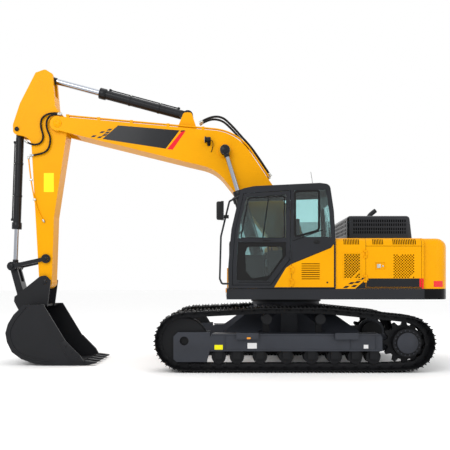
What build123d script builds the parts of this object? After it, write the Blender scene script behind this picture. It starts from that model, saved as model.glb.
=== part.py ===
from build123d import *
from math import atan2, cos, hypot, pi, sin, sqrt
import os

# Crawler excavator. Millimetres. The origin is on the slew axis at ground level, +Z is up,
# the machine faces -X and its left side, with the cab, is -Y.

# ---- clearances ----
RUNNING = 0.06          # radial clearance of a pin in its eye
SEAT = 0.3              # a piece and what carries it
MOVE = 6.0              # a moving piece and its neighbours

# ---- tracks ----
IDLER_X, IDLER_Z, IDLER_R = -1750.0, 490.0, 357.0
SPROCKET_X, SPROCKET_Z, SPROCKET_R = 1790.0, 460.0, 314.0
ROLLER_R = 105.0
ROLLER_FLANGE = 10.0
ROLLER_XS = (-1200.0, -910.0, -540.0, -120.0, 280.0, 650.0, 980.0, 1270.0)
CARRIER_XS = (-430.0, 430.0)
CARRIER_Z, CARRIER_R = 832.0, 83.0
TRACK_Y = 1190.0        # centre of a track
SHOE_WIDTH = 600.0
SHOE_PITCH = 190.0
LINK_HEIGHT = 91.0
SHOE_THICKNESS = 14.0
GROUSER_HEIGHT = 26.0
GROUSER_WIDTH = 12.0
GROUSERS_PER_SHOE = 3
RAIL_INNER, RAIL_OUTER = 45.0, 100.0      # a link rail, from the track's centre
PIN_HEIGHT = 45.0       # chain pins above the rail face
TOOTH_COUNT = 12
TOOTH_WIDTH = 60.0
TOOTH_REACH = 38.0      # tooth tips outside the rail face

# ---- track frames and carbody ----
FRAME_FRONT, FRAME_REAR = -1340.0, 1400.0
FRAME_LOW, FRAME_HIGH = 352.0, 602.0
FRAME_HALF = 170.0
FRAME_LIP = 26.0
LIP = 16.0
CARBODY_HALF_X, CARBODY_HALF_Y = 640.0, 600.0
CARBODY_LOW, CARBODY_HIGH = 480.0, 1040.0
RING_R = 600.0
TOW_Z, TOW_THICK = 690.0, 50.0
TOW_REACH, TOW_HALF, TOW_BORE_R = 120.0, 60.0, 22.0
RING_SPLIT = 1092.0     # height where the turning race starts
DECK_LOW = 1150.0       # underside of the upper structure

# ---- upper structure ----
DECK_HIGH = 1320.0
HOUSE_HALF = 1380.0
HOUSE_FRONT = -1075.0
SKIRT = 30.0
DECK_PLATE = 20.0
WELL_HALF = 450.0       # half the gap between cab and tanks
WALL = 25.0
SHOULDER_Z = 2130.0
SHOULDER_R = 110.0
BAY_FRONT, BAY_SPLIT, BAY_REAR = 652.0, 1129.0, 2050.0
WEIGHT_FRONT = 2062.0
WEIGHT_R = 2730.0
WEIGHT_HALF = 1330.0
HOOD_FRONT, HOOD_REAR, HOOD_HALF = 930.0, 2010.0, 950.0
HOOD_LOW, HOOD_HIGH = 2130.5, 2530.0
HOOD_WALL = 20.0
HINGE_R, HINGE_PIN, HINGE_OUT = 12.0, 6.0, 14.0

# ---- cab ----
CAB_LEFT, CAB_RIGHT = -1400.0, -462.0
CAB_WALL = 45.0
GLASS = 8.0
CAB_OUTLINE = (         # (x, z) seen from the left, from the front sill upwards
    (-1045, 1328), (-1045, 1700), (-999, 2267), (-850, 2900), (-640, 2945),
    (402, 2996), (560, 2975), (623, 2553), (652, 2046), (652, 1328),
)
DOOR_REAR = -62.0
DOOR_THICK = 40.0
ACCESS_HINGE_X = -42.0

# ---- pins of the working gear: (x, z) ----
FOOT = (100.0, 1930.0)
BOOM_EYE = (-1100.0, 3750.0)
BOOM_CYL = (-375.0, 1425.0)
TIP = (-4070.0, 4245.0)
ARM_CYL = (-1770.0, 4430.0)
ARM_EYE = (-4280.0, 5100.0)
BUCKET_PIN = (-4300.0, 1433.0)
GUIDE_PIN = (-4290.0, 1848.0)
LINK_PIN = (-4898.0, 1715.0)
BUCKET_EYE = (-4739.0, 1133.0)
BUCKET_CYL = (-4810.0, 4160.0)

# ---- boom, arm, bucket ----
PIPE_R, PIPE_Y, PIPE_LIFT = 13.0, 194.0, 34.0
PIPE_FRONT = -3920.0
BOOM_HALF = 250.0
BOOM_CYL_Y = 345.0
FORK_HALF = 180.0       # inside half width of the boom's forked tip
ARM_HALF = 172.0
BUCKET_HALF = 630.0
EAR = 30.0
LIP_X = -3500.0         # front edge of the bucket's floor
EAR_GAP = 218.0         # inside half width of the bucket's ears
NECK = 140.0            # base pin to the round tube of a cylinder
GLAND_RIM = 12.0

NODES = {}


def add(name, *solids):
    NODES.setdefault(name, []).extend(solids)


def block(x0, x1, y0, y1, z0, z1):
    centre = ((x0 + x1) / 2, (y0 + y1) / 2, (z0 + z1) / 2)
    return Pos(*centre) * Box(abs(x1 - x0), abs(y1 - y0), abs(z1 - z0))


def side_face(points, y, fillets=()):
    """Face in the XZ plane at y; fillets is (corner number, radius) pairs."""
    face = Plane.XZ.offset(-y) * Polygon(*points, align=None)
    for index, radius in fillets:
        x, z = points[index]
        corner = min(face.vertices(), key=lambda v: hypot(v.X - x, v.Z - z))
        face = fillet(corner, radius)
    return face


def sideways(face, width):
    """Body of a face that runs from its place towards the left."""
    return extrude(face, amount=width, dir=(0, -1, 0))


def side_prism(points, y0, y1, fillets=()):
    return sideways(side_face(points, max(y0, y1), fillets), abs(y1 - y0))


def plan_prism(points, z0, z1):
    return extrude(Pos(0, 0, z0) * Polygon(*points, align=None), amount=z1 - z0, dir=(0, 0, 1))


def drum(x, z, radius, y0, y1):
    """Cylinder along Y."""
    return Pos(x, (y0 + y1) / 2, z) * Rot(90, 0, 0) * Cylinder(radius, abs(y1 - y0))


def bar(start, end, radius):
    """Round bar between two points."""
    start, end = Vector(*start), Vector(*end)
    plane = Plane(origin=start, z_dir=end - start)
    return extrude(plane * Circle(radius), amount=(end - start).length)


def pipe_run(points, radius, bend):
    path = FilletPolyline(*points, radius=bend)
    first = Vector(*points[1]) - Vector(*points[0])
    return sweep(Plane(origin=points[0], z_dir=first) * Circle(radius), path=path)


def other_side(solid):
    return mirror(solid, about=Plane.XZ)


def hinge(axis_x, face_y, z, door_side):
    """Fixed half and door half of a small hinge on an outer wall, the door towards door_side."""
    out = 1 if face_y > 0 else -1
    y = face_y + out * HINGE_OUT
    pin = Pos(axis_x, y, z) * Cylinder(HINGE_PIN, 120)
    fixed = pin
    for end in (-1, 1):
        fixed += Pos(axis_x, y, z + end * 45) * Cylinder(HINGE_R, 30)
        fixed += block(axis_x - door_side * 34, axis_x, face_y, y + out * HINGE_PIN,
                       z + end * 30, z + end * 60)
    leaf = Pos(axis_x, y, z) * Cylinder(HINGE_R, 58)
    leaf += block(axis_x, axis_x + door_side * 34, face_y, y + out * HINGE_PIN, z - 29, z + 29)
    leaf -= Pos(axis_x, y, z) * Cylinder(HINGE_PIN + RUNNING, 130)
    return fixed, leaf


def ahead(start, end, distance):
    """Point at a distance from start towards end, in the XZ plane."""
    length = hypot(end[0] - start[0], end[1] - start[1])
    share = distance / length
    return (start[0] + (end[0] - start[0]) * share, start[1] + (end[1] - start[1]) * share)


# ---------------------------------------------------------------- tracks
def chain_circles():
    """Circles the rails run round, along the ground to the rear and back over the top."""
    ground = GROUSER_HEIGHT + SHOE_THICKNESS + LINK_HEIGHT + ROLLER_R
    return (
        (IDLER_X, IDLER_Z, IDLER_R),
        (ROLLER_XS[0], ground, ROLLER_R),
        (ROLLER_XS[-1], ground, ROLLER_R),
        (SPROCKET_X, SPROCKET_Z, SPROCKET_R),
        (CARRIER_XS[1], CARRIER_Z, CARRIER_R),
        (CARRIER_XS[0], CARRIER_Z, CARRIER_R),
    )


def chain_normals():
    """Outward normal of the straight run that leaves each circle."""
    circles = chain_circles()
    normals = []
    for (x0, z0, r0), (x1, z1, r1) in zip(circles, circles[1:] + circles[:1]):
        length = hypot(x1 - x0, z1 - z0)
        ux, uz = (x1 - x0) / length, (z1 - z0) / length
        lean = (r0 - r1) / length
        rise = sqrt(1 - lean * lean)
        normals.append((ux * lean + uz * rise, uz * lean - ux * rise))
    return normals


def chain_spans(offset):
    """Straight runs and arcs of the loop at an offset outside the rail face."""
    circles, normals = chain_circles(), chain_normals()
    spans = []
    for index, (x, z, r) in enumerate(circles):
        into, out = normals[index - 1], normals[index]
        turn = (atan2(out[1], out[0]) - atan2(into[1], into[0])) % (2 * pi)
        radius = r + offset
        spans.append(("arc", (x, z), radius, atan2(into[1], into[0]), turn, radius * turn))
        x1, z1, r1 = circles[(index + 1) % len(circles)]
        start = (x + radius * out[0], z + radius * out[1])
        end = (x1 + (r1 + offset) * out[0], z1 + (r1 + offset) * out[1])
        spans.append(("run", start, end, 0, 0, hypot(end[0] - start[0], end[1] - start[1])))
    return spans


def chain_face(offset, y):
    edges = []
    for kind, a, b, angle, turn, _ in chain_spans(offset):
        if kind == "run":
            edges.append(Line((a[0], y, a[1]), (b[0], y, b[1])))
        else:
            places = [(a[0] + b * cos(angle + turn * t), y, a[1] + b * sin(angle + turn * t))
                      for t in (0, 0.5, 1)]
            edges.append(ThreePointArc(*places))
    return make_face(edges)


def chain_points(count, offset):
    """Equally spaced points along the loop."""
    spans = chain_spans(offset)
    pitch = sum(span[5] for span in spans) / count
    points = []
    for index in range(count):
        left = index * pitch
        for kind, a, b, angle, turn, length in spans:
            if left <= length:
                break
            left -= length
        if kind == "run":
            share = left / length
            points.append((a[0] + (b[0] - a[0]) * share, a[1] + (b[1] - a[1]) * share))
        else:
            place = angle + left / b
            points.append((a[0] + b * cos(place), a[1] + b * sin(place)))
    return points


def shoe_outline():
    """Closed outline of the shoes with their grousers."""
    length = sum(span[5] for span in chain_spans(PIN_HEIGHT))
    count = round(length / SHOE_PITCH)
    pins = chain_points(count, PIN_HEIGHT)
    face = LINK_HEIGHT + SHOE_THICKNESS - PIN_HEIGHT
    outline = []
    for (x0, z0), (x1, z1) in zip(pins, pins[1:] + pins[:1]):
        pitch = hypot(x1 - x0, z1 - z0)
        ux, uz = (x1 - x0) / pitch, (z1 - z0) / pitch
        for bar_index in range(GROUSERS_PER_SHOE):
            middle = pitch * (bar_index + 0.5) / GROUSERS_PER_SHOE
            for along, out in ((-8, 0), (-4, GROUSER_HEIGHT), (4, GROUSER_HEIGHT), (8, 0)):
                along = middle + along * GROUSER_WIDTH / 8
                height = face + out
                outline.append((x0 + ux * along + uz * height, z0 + uz * along - ux * height))
    return outline


def track():
    low, high = TRACK_Y - SHOE_WIDTH / 2, TRACK_Y + SHOE_WIDTH / 2
    shoe_inside = LINK_HEIGHT - 13
    shoes = side_prism(shoe_outline(), low, high)
    shoes -= sideways(chain_face(shoe_inside, high + 1), SHOE_WIDTH + 2)
    for near, far in ((-RAIL_OUTER, -RAIL_INNER), (RAIL_INNER, RAIL_OUTER)):
        rail = sideways(chain_face(shoe_inside + 2, TRACK_Y + far), far - near)
        rail -= sideways(chain_face(0, TRACK_Y + far + 1), far - near + 2)
        shoes += rail
    return shoes


def wheel(x, z, steps):
    """Turned piece on a Y axis; steps are (half width, radius), widest first."""
    body = None
    for half, radius in steps:
        piece = drum(x, z, radius, TRACK_Y - half, TRACK_Y + half)
        body = piece if body is None else body + piece
    return body


def sprocket():
    root = SPROCKET_R - 12
    tip = SPROCKET_R + TOOTH_REACH
    pitch = 2 * pi / TOOTH_COUNT
    profile = []
    for index in range(TOOTH_COUNT):
        for turn, radius in ((-0.34, root - 22), (-0.12, tip), (0.12, tip), (0.34, root - 22)):
            angle = (index + turn) * pitch
            profile.append((SPROCKET_X + radius * cos(angle), SPROCKET_Z + radius * sin(angle)))
    half = TOOTH_WIDTH / 2
    return side_prism(profile, TRACK_Y - half, TRACK_Y + half)


def undercarriage():
    left = {}
    left["track"] = [track()]
    left["idler"] = [wheel(IDLER_X, IDLER_Z, (
        (112, 70), (RAIL_OUTER, IDLER_R - SEAT), (RAIL_INNER - 7, IDLER_R + 20)))]
    drive = drum(SPROCKET_X, SPROCKET_Z, 224, TRACK_Y + TOOTH_WIDTH / 2, TRACK_Y + 190)
    drive += drum(SPROCKET_X, SPROCKET_Z, 170, TRACK_Y + 190, TRACK_Y + 215)
    drive += drum(SPROCKET_X, SPROCKET_Z, 200, TRACK_Y - 260, TRACK_Y - TOOTH_WIDTH / 2)
    left["sprocket"] = [sprocket() + drive]
    ground = GROUSER_HEIGHT + SHOE_THICKNESS + LINK_HEIGHT + ROLLER_R
    rollers = []
    for x in ROLLER_XS:
        roller = drum(x, ground, ROLLER_R - SEAT, TRACK_Y - RAIL_OUTER - 4, TRACK_Y + RAIL_OUTER + 4)
        for side in (-1, 1):
            y0, y1 = TRACK_Y + side * (RAIL_OUTER + 4), TRACK_Y + side * (RAIL_OUTER + 22)
            roller += drum(x, ground, ROLLER_R + ROLLER_FLANGE, y0, y1)
            y2 = TRACK_Y + side * (FRAME_HALF - LIP - SEAT)
            roller += drum(x, ground, 45, y1, y2)
            roller += block(x - 60, x + 60, y1 + side * 6, y2, ground - 40, FRAME_LOW - SEAT)
        rollers.append(roller)
    left["rollers"] = rollers
    carriers = []
    for x in CARRIER_XS:
        carrier = drum(x, CARRIER_Z, CARRIER_R - SEAT, TRACK_Y - RAIL_OUTER, TRACK_Y + RAIL_OUTER)
        carrier += drum(x, CARRIER_Z, 38, TRACK_Y - RAIL_OUTER - 45, TRACK_Y - RAIL_OUTER)
        carrier += block(x - 50, x + 50, TRACK_Y - RAIL_OUTER - 60, TRACK_Y - RAIL_OUTER - 20,
                         FRAME_HIGH + SEAT, CARRIER_Z + 38)
        carriers.append(carrier)
    left["carriers"] = carriers
    left["frame"] = [track_frame()]
    names = {"track": "track", "idler": "idler", "sprocket": "sprocket_drive",
             "rollers": "bottom_rollers", "carriers": "carrier_rollers", "frame": "track_frame"}
    for key, solids in left.items():
        add(names[key] + "_right", *solids)
        add(names[key] + "_left", *[other_side(s) for s in solids])
    carbody()


def track_frame():
    """Box beam with lips, the idler's fork in front and the drive's collar behind."""
    low, high = TRACK_Y - FRAME_HALF, TRACK_Y + FRAME_HALF
    outline = ((FRAME_FRONT, FRAME_LOW), (FRAME_FRONT, FRAME_HIGH - 40), (FRAME_FRONT + 60, FRAME_HIGH),
               (FRAME_REAR - 40, FRAME_HIGH), (FRAME_REAR, FRAME_HIGH - 60), (FRAME_REAR, FRAME_LOW))
    beam = side_prism(outline, low, high)
    for edge in (low, high - LIP):
        beam += block(FRAME_FRONT, FRAME_REAR, edge, edge + LIP, FRAME_LOW - FRAME_LIP, FRAME_LOW)
    fork = ((-1920, 200), (-1920, 560), (-1850, 630), (FRAME_FRONT, 630), (FRAME_FRONT, FRAME_LOW),
            (-1385, 157), (-1870, 157))
    for near in (116, -FRAME_HALF):
        cheek = side_prism(fork, TRACK_Y + near, TRACK_Y + near + FRAME_HALF - 116)
        cheek += block(FRAME_FRONT - 1, FRAME_FRONT + 120, TRACK_Y + near,
                       TRACK_Y + near + FRAME_HALF - 116, FRAME_LOW, FRAME_HIGH - 70)
        cheek -= drum(IDLER_X, IDLER_Z, 71, TRACK_Y - FRAME_HALF - 1, TRACK_Y + FRAME_HALF + 1)
        beam += cheek
    collar = drum(SPROCKET_X, SPROCKET_Z, 262, low, low + 60)
    collar += block(FRAME_REAR - 1, SPROCKET_X, low, low + 60, SPROCKET_Z - 150, SPROCKET_Z + 120)
    collar -= drum(SPROCKET_X, SPROCKET_Z, 200 + SEAT, low - 1, low + 61)
    beam += collar
    for x0, x1 in ((-920, -570), (640, 1010)):
        beam += block(x0, x1, high, high + 60, 520, 620)
    return beam


def carbody():
    outline = ((-CARBODY_HALF_X, CARBODY_LOW + 60), (-CARBODY_HALF_X + 90, CARBODY_HIGH),
               (CARBODY_HALF_X - 90, CARBODY_HIGH), (CARBODY_HALF_X, CARBODY_LOW + 60),
               (CARBODY_HALF_X - 60, CARBODY_LOW), (-CARBODY_HALF_X + 60, CARBODY_LOW))
    body = side_prism(outline, -CARBODY_HALF_Y, CARBODY_HALF_Y)
    frame_side = TRACK_Y - FRAME_HALF - SEAT
    for fore in (-1, 1):
        inner = Plane.XZ.offset(-(CARBODY_HALF_Y - 40)) * Pos(fore * 350, 765) * Rectangle(500, 480)
        outer = Plane.XZ.offset(-frame_side) * Pos(fore * 860, 470) * Rectangle(560, 250)
        leg = loft([inner, outer])
        body += leg
        body += other_side(leg)
    body += Pos(0, 0, (CARBODY_HIGH + RING_SPLIT) / 2) * Cylinder(RING_R, RING_SPLIT - CARBODY_HIGH)
    add("carbody", body)
    eye = block(-CARBODY_HALF_X - TOW_REACH, -CARBODY_HALF_X + 60, -TOW_HALF, TOW_HALF,
                TOW_Z - TOW_THICK / 2, TOW_Z + TOW_THICK / 2)
    eye -= Pos(-CARBODY_HALF_X - TOW_REACH + TOW_HALF, 0, TOW_Z) * Cylinder(TOW_BORE_R, TOW_THICK + 2)
    eye -= body
    add("tow_eye", eye)


# ---------------------------------------------------------------- upper structure
def deck_outline(inset):
    front, rear, half = HOUSE_FRONT + inset, WEIGHT_FRONT - SEAT - inset, HOUSE_HALF - inset
    step = WELL_HALF - inset
    return ((front, -half), (front, -step), (-640 + inset, -step), (-640 + inset, step),
            (front, step), (front, half), (rear, half), (rear, -half))


def platform():
    deck = plan_prism(deck_outline(0), DECK_LOW, DECK_HIGH)
    deck -= plan_prism(deck_outline(SKIRT), DECK_LOW - 1, DECK_HIGH - DECK_PLATE)
    deck += block(-640 + SKIRT - 1, WEIGHT_FRONT - SKIRT, -440, 440, DECK_LOW, DECK_LOW + 25)
    for side in (-1, 1):
        deck += block(-640 + SKIRT - 1, WEIGHT_FRONT - SKIRT, side * 270, side * 305,
                      DECK_LOW + 24, DECK_HIGH - DECK_PLATE + 1)
        foot = ((FOOT[0] - 330, DECK_HIGH - 1), (FOOT[0] - 150, FOOT[1]), (FOOT[0] - 60, FOOT[1] + 150),
                (FOOT[0] + 60, FOOT[1] + 150), (FOOT[0] + 150, FOOT[1]), (FOOT[0] + 520, DECK_HIGH - 1))
        inner = BOOM_HALF + MOVE
        cheek = side_prism(foot, side * inner, side * (inner + 34), ((2, 60), (3, 60)))
        deck += cheek
        x, z = BOOM_CYL
        ear = ((x - 110, DECK_HIGH - 1), (x - 80, z + 60), (x + 80, z + 60), (x + 130, DECK_HIGH - 1))
        for y0, y1 in ((BOOM_CYL_Y - 89, BOOM_CYL_Y - 61), (BOOM_CYL_Y + 61, BOOM_CYL_Y + 89)):
            deck += side_prism(ear, side * y0, side * y1, ((1, 40), (2, 40)))
        deck += drum(x, z, 45, side * (BOOM_CYL_Y - 89), side * (BOOM_CYL_Y + 89))
    deck += drum(*FOOT, 50, -BOOM_HALF - MOVE - 34, BOOM_HALF + MOVE + 34)
    add("platform", deck)
    race_low = RING_SPLIT + SEAT
    race = Pos(0, 0, (race_low + DECK_LOW) / 2) * Cylinder(RING_R + 25, DECK_LOW - race_low)
    add("slew_ring", race)


def counterweight():
    corner = sqrt(WEIGHT_R ** 2 - WEIGHT_HALF ** 2)
    plan = make_face([
        Line((WEIGHT_FRONT, -WEIGHT_HALF), (corner, -WEIGHT_HALF)),
        ThreePointArc((corner, -WEIGHT_HALF), (WEIGHT_R, 0), (corner, WEIGHT_HALF)),
        Line((corner, WEIGHT_HALF), (WEIGHT_FRONT, WEIGHT_HALF)),
        Line((WEIGHT_FRONT, WEIGHT_HALF), (WEIGHT_FRONT, -WEIGHT_HALF)),
    ])
    weight = extrude(Pos(0, 0, DECK_LOW) * plan, amount=SHOULDER_Z - DECK_LOW, dir=(0, 0, 1))
    upright = [e for e in weight.edges().filter_by(Axis.Z) if e.center().X > WEIGHT_FRONT + 10]
    weight = fillet(upright, 90)
    top = [e for e in weight.edges() if abs(e.center().Z - SHOULDER_Z) < 1
           and e.center().X > WEIGHT_FRONT + 10]
    weight = fillet(top, 80)
    add("counterweight", weight)


def shoulder_shell(x0, x1):
    """Side wall that turns inwards to the engine deck, left side."""
    outer = -HOUSE_HALF
    profile = ((outer, DECK_HIGH + SEAT), (outer, SHOULDER_Z), (-HOOD_HALF - 40, SHOULDER_Z),
               (-HOOD_HALF - 40, SHOULDER_Z - WALL), (outer + WALL, SHOULDER_Z - WALL),
               (outer + WALL, DECK_HIGH + SEAT))
    face = Plane.YZ.offset(x0) * Polygon(*profile, align=None)
    for (y, z), radius in ((profile[1], SHOULDER_R), (profile[4], SHOULDER_R - WALL)):
        corner = min(face.vertices(), key=lambda v: hypot(v.Y - y, v.Z - z))
        face = fillet(corner, radius)
    return extrude(face, amount=x1 - x0, dir=(1, 0, 0))


def engine_bay():
    door_top = SHOULDER_Z - SHOULDER_R - 20
    left = shoulder_shell(BAY_FRONT, BAY_REAR)
    opening = block(BAY_SPLIT, BAY_REAR - 30, -HOUSE_HALF - 1, -HOUSE_HALF + WALL + 1,
                    DECK_HIGH + 20, door_top)
    left -= opening
    x0, x1 = BAY_SPLIT + MOVE, BAY_REAR - 30 - MOVE
    door = block(x0, x1, -HOUSE_HALF, -HOUSE_HALF + WALL - 2, DECK_HIGH + 20 + MOVE, door_top - MOVE)
    for index in range(7):
        z = 1620 + index * 43
        door -= block(x0 + 90, x0 + 330, -HOUSE_HALF - 1, -HOUSE_HALF + 9, z, z + 22)
    for z in (1480, 1870):
        fixed, leaf = hinge(x0, -HOUSE_HALF, z, 1)
        left += fixed
        door += leaf
    right = other_side(left)
    add("side_panel_left", left)
    add("side_panel_right", right)
    add("radiator_door", door)
    add("pump_door", other_side(door))
    half = HOOD_HALF + 40 - SEAT
    deck = block(BAY_FRONT, BAY_REAR, -half, half, SHOULDER_Z - WALL, SHOULDER_Z)
    deck -= block(HOOD_FRONT + 60, HOOD_REAR - 60, -HOOD_HALF + 60, HOOD_HALF - 60,
                  SHOULDER_Z - WALL - 1, SHOULDER_Z + 1)
    wall = block(BAY_FRONT, BAY_FRONT + WALL, -HOUSE_HALF + WALL + SEAT, HOUSE_HALF - WALL - SEAT,
                 DECK_HIGH + SEAT, SHOULDER_Z - SHOULDER_R)
    add("firewall", wall)
    add("engine", block(1050, 1950, -420, 420, DECK_HIGH + SEAT, 2080))
    profile = ((HOOD_FRONT, HOOD_LOW), (HOOD_FRONT, HOOD_HIGH - 170), (HOOD_FRONT + 150, HOOD_HIGH),
               (HOOD_REAR, HOOD_HIGH), (HOOD_REAR, HOOD_LOW))
    hood = side_prism(profile, -HOOD_HALF, HOOD_HALF, ((1, 60), (2, 90), (3, 60)))
    inner = ((HOOD_FRONT + HOOD_WALL, HOOD_LOW - 1), (HOOD_FRONT + HOOD_WALL, HOOD_HIGH - 180),
             (HOOD_FRONT + 160, HOOD_HIGH - HOOD_WALL), (HOOD_REAR - HOOD_WALL, HOOD_HIGH - HOOD_WALL),
             (HOOD_REAR - HOOD_WALL, HOOD_LOW - 1))
    hood -= side_prism(inner, -HOOD_HALF + HOOD_WALL, HOOD_HALF - HOOD_WALL)
    x, z = HOOD_REAR + HINGE_R + 4, HOOD_LOW + HINGE_R
    for y in (-600, 600):
        hood += drum(x, z, HINGE_R, y - 29, y + 29)
        hood += block(HOOD_REAR - 1, x, y - 29, y + 29, z - 6, z + 6)
        hood -= drum(x, z, HINGE_PIN + RUNNING, y - 30, y + 30)
        deck += drum(x, z, HINGE_PIN, y - 60, y + 60)
        for end in (-1, 1):
            deck += drum(x, z, HINGE_R, y + end * 31, y + end * 60)
            deck += block(x - 8, x + 8, y + end * 31, y + end * 60, SHOULDER_Z - 1, z)
    add("engine_deck", deck)
    add("engine_hood", hood)
    pipe = Pos(1740, 600, HOOD_HIGH + 130) * Cylinder(55, 260)
    pipe += Pos(1740, 600, HOOD_HIGH + 15) * Cylinder(90, 30)
    add("exhaust_tail", Pos(0, 0, SEAT) * pipe)


def cab():
    outline = side_face(CAB_OUTLINE, CAB_RIGHT, ((2, 300), (3, 90), (6, 90)))
    outer = sideways(outline, CAB_RIGHT - CAB_LEFT)
    face = offset(side_face(CAB_OUTLINE, CAB_RIGHT - CAB_WALL, ((2, 300), (3, 90), (6, 90))),
                  amount=-CAB_WALL)
    shell = outer - sideways(face, CAB_RIGHT - CAB_LEFT - 2 * CAB_WALL)
    left = (CAB_LEFT - 1, CAB_LEFT + CAB_WALL + 1)
    doorway = side_prism(((-985, 1375), (-985, 1700), (-940, 2262), (-805, 2830), (DOOR_REAR, 2880),
                          (DOOR_REAR, 1790), (-375, 1375)), *left)
    cuts = {
        "side": side_prism(((-10, 2140), (-10, 2880), (500, 2890), (555, 2540), (580, 2140)), *left),
        "front": block(-1300, -760, CAB_LEFT + 90, CAB_RIGHT - 90, 1430, 2840),
        "right": side_prism(((-900, 1900), (-780, 2820), (540, 2870), (580, 1900)),
                            CAB_RIGHT - CAB_WALL - 1, CAB_RIGHT + 1),
        "rear": block(560, 700, CAB_LEFT + 110, CAB_RIGHT - 110, 2120, 2840),
    }
    inset = side_face(CAB_OUTLINE, CAB_RIGHT - 12, ((2, 300), (3, 90), (6, 90)))
    pane_outer = sideways(offset(inset, amount=-12), CAB_RIGHT - CAB_LEFT - 24)
    deep = side_face(CAB_OUTLINE, CAB_RIGHT - 12 - GLASS, ((2, 300), (3, 90), (6, 90)))
    pane_inner = sideways(offset(deep, amount=-12 - GLASS), CAB_RIGHT - CAB_LEFT - 24 - 2 * GLASS)
    layer = pane_outer - pane_inner
    panes = []
    for cut in cuts.values():
        shell -= cut
        panes.extend((layer & cut).solids())
    shell -= doorway
    fixed, door = side_panel_outlines()
    shell -= sideways(offset(side_face(fixed, CAB_LEFT + CAB_WALL + 1), amount=SEAT), CAB_WALL + 2)
    shell -= sideways(offset(side_face(door, CAB_LEFT + CAB_WALL + 1), amount=MOVE), CAB_WALL + 2)
    add("cab_glass", *panes)
    thick = (CAB_LEFT, CAB_LEFT + DOOR_THICK)
    leaf_points = ((-977, 1383), (-977, 1700), (-932, 2262), (-799, 2824), (DOOR_REAR - 8, 2872),
                   (DOOR_REAR - 8, 1794), (-381, 1383))
    leaf = side_prism(leaf_points, *thick)
    glass_cuts = (
        side_prism(((-905, 2120), (-888, 2262), (-762, 2770), (DOOR_REAR - 70, 2812),
                    (DOOR_REAR - 70, 2120)), CAB_LEFT - 1, CAB_LEFT + DOOR_THICK + 1),
        side_prism(((-915, 1450), (-915, 1700), (-892, 2060), (DOOR_REAR - 70, 2060),
                    (DOOR_REAR - 70, 1850), (-425, 1450)), CAB_LEFT - 1, CAB_LEFT + DOOR_THICK + 1),
    )
    door_panes = []
    for cut in glass_cuts:
        leaf -= cut
        door_panes.extend((cut & block(-1100, 0, CAB_LEFT + 14, CAB_LEFT + 14 + GLASS, 1300, 3000)).solids())
    for z in (1850, 2650):
        pin, knuckle = hinge(DOOR_REAR - 8, CAB_LEFT, z, -1)
        shell += pin
        leaf += knuckle
    add("cab_shell", shell)
    add("cab_door", leaf)
    add("cab_door_glass", *door_panes)
    floor = 1328 + CAB_WALL + SEAT
    seat = block(-420, 40, -1170, -690, floor + 320, floor + 430)
    seat += block(-20, 110, -1150, -710, floor + 431 - 2, floor + 1080)
    seat += block(-330, 0, -1050, -810, floor, floor + 321)
    add("operator_seat", seat)
    for name, y0, y1 in (("console_left", -1330, -1190), ("console_right", -670, -530)):
        console = block(-420, 90, y0, y1, floor, floor + 560)
        console += bar((-350, (y0 + y1) / 2, floor + 559), (-370, (y0 + y1) / 2, floor + 720), 16)
        add("consoles", console)


def side_panel_outlines():
    """Fixed panel and access door low in the cab's left side, behind the cab door."""
    x = ACCESS_HINGE_X
    fixed = ((-320, 1345), (-137, 1649), (x - MOVE, 1711), (x - MOVE, 1345))
    door = ((x, 1345), (x, 1713), (576, 1966), (622, 2025), (622, 1345))
    return fixed, door


def house_left():
    """Panel and access door flush with the cab's left wall."""
    outer, inner = CAB_LEFT, CAB_LEFT + WALL
    x = ACCESS_HINGE_X
    fixed, door = side_panel_outlines()
    panel = side_prism(fixed, outer, inner)
    leaf = side_prism(door, outer, inner)
    for z in (1420, 1620):
        pin, knuckle = hinge(x, outer, z, 1)
        panel += pin
        leaf += knuckle
    add("cab_side_panel", panel)
    for index in range(8):
        z = 1470 + index * 34
        leaf -= block(110, 400, outer - 1, outer + 9, z, z + 14)
    add("access_door", leaf)


def house_right():
    """Toolbox with steps, fuel tank and hydraulic tank on the right."""
    y0, y1 = WELL_HALF + 12, HOUSE_HALF - 4
    box = block(-1060, -560, y0, y1, DECK_HIGH + SEAT, 1700)
    box += block(-560.5, -300, y0, y1, DECK_HIGH + SEAT, 1900)
    add("toolbox_steps", box)
    tank = block(-300 + SEAT, 300, y0, y1, DECK_HIGH + SEAT, 2110)
    tank = fillet(tank.edges().filter_by(Axis.X), 50)
    add("fuel_tank", tank)
    oil = block(300 + SEAT, BAY_FRONT - SEAT, y0, y1, DECK_HIGH + SEAT, 2180)
    oil = fillet(oil.edges().filter_by(Axis.X), 50)
    add("hydraulic_tank", oil)
    rail = pipe_run(((-1000, y1 - 40, 1700), (-1000, y1 - 40, 2250), (-560, y1 - 40, 2650),
                     (200, y1 - 40, 2650), (200, y1 - 40, 2110)), 17, 90)
    add("handrail_right", rail)
    y = CAB_LEFT + 50
    grip = pipe_run(((-860, y, 2800), (-1030, y, 2710), (-1165, y, 2150), (-1183, y, 1480),
                     (-1150, y, 1400), (-1010, y, 1400)), 15, 35)
    grip -= NODES["cab_shell"][0]
    add("handrail_left", grip)
    clamp = block(-1150, -1040, y - 28, y + 28, 2440, 2490)
    arm = clamp + bar((-1130, y - 20, 2465), (-1130, y - 90, 2500), 9)
    arm += block(-1160, -1120, y - 190, y - 70, 2400, 2690)
    arm -= grip
    add("mirror_left", arm)


# ---------------------------------------------------------------- boom
def boom_top(x):
    """Height of the boom's upper edge ahead of its bend."""
    return TIP[1] + 122 - (x - TIP[0] - 30) * 0.0903


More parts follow.
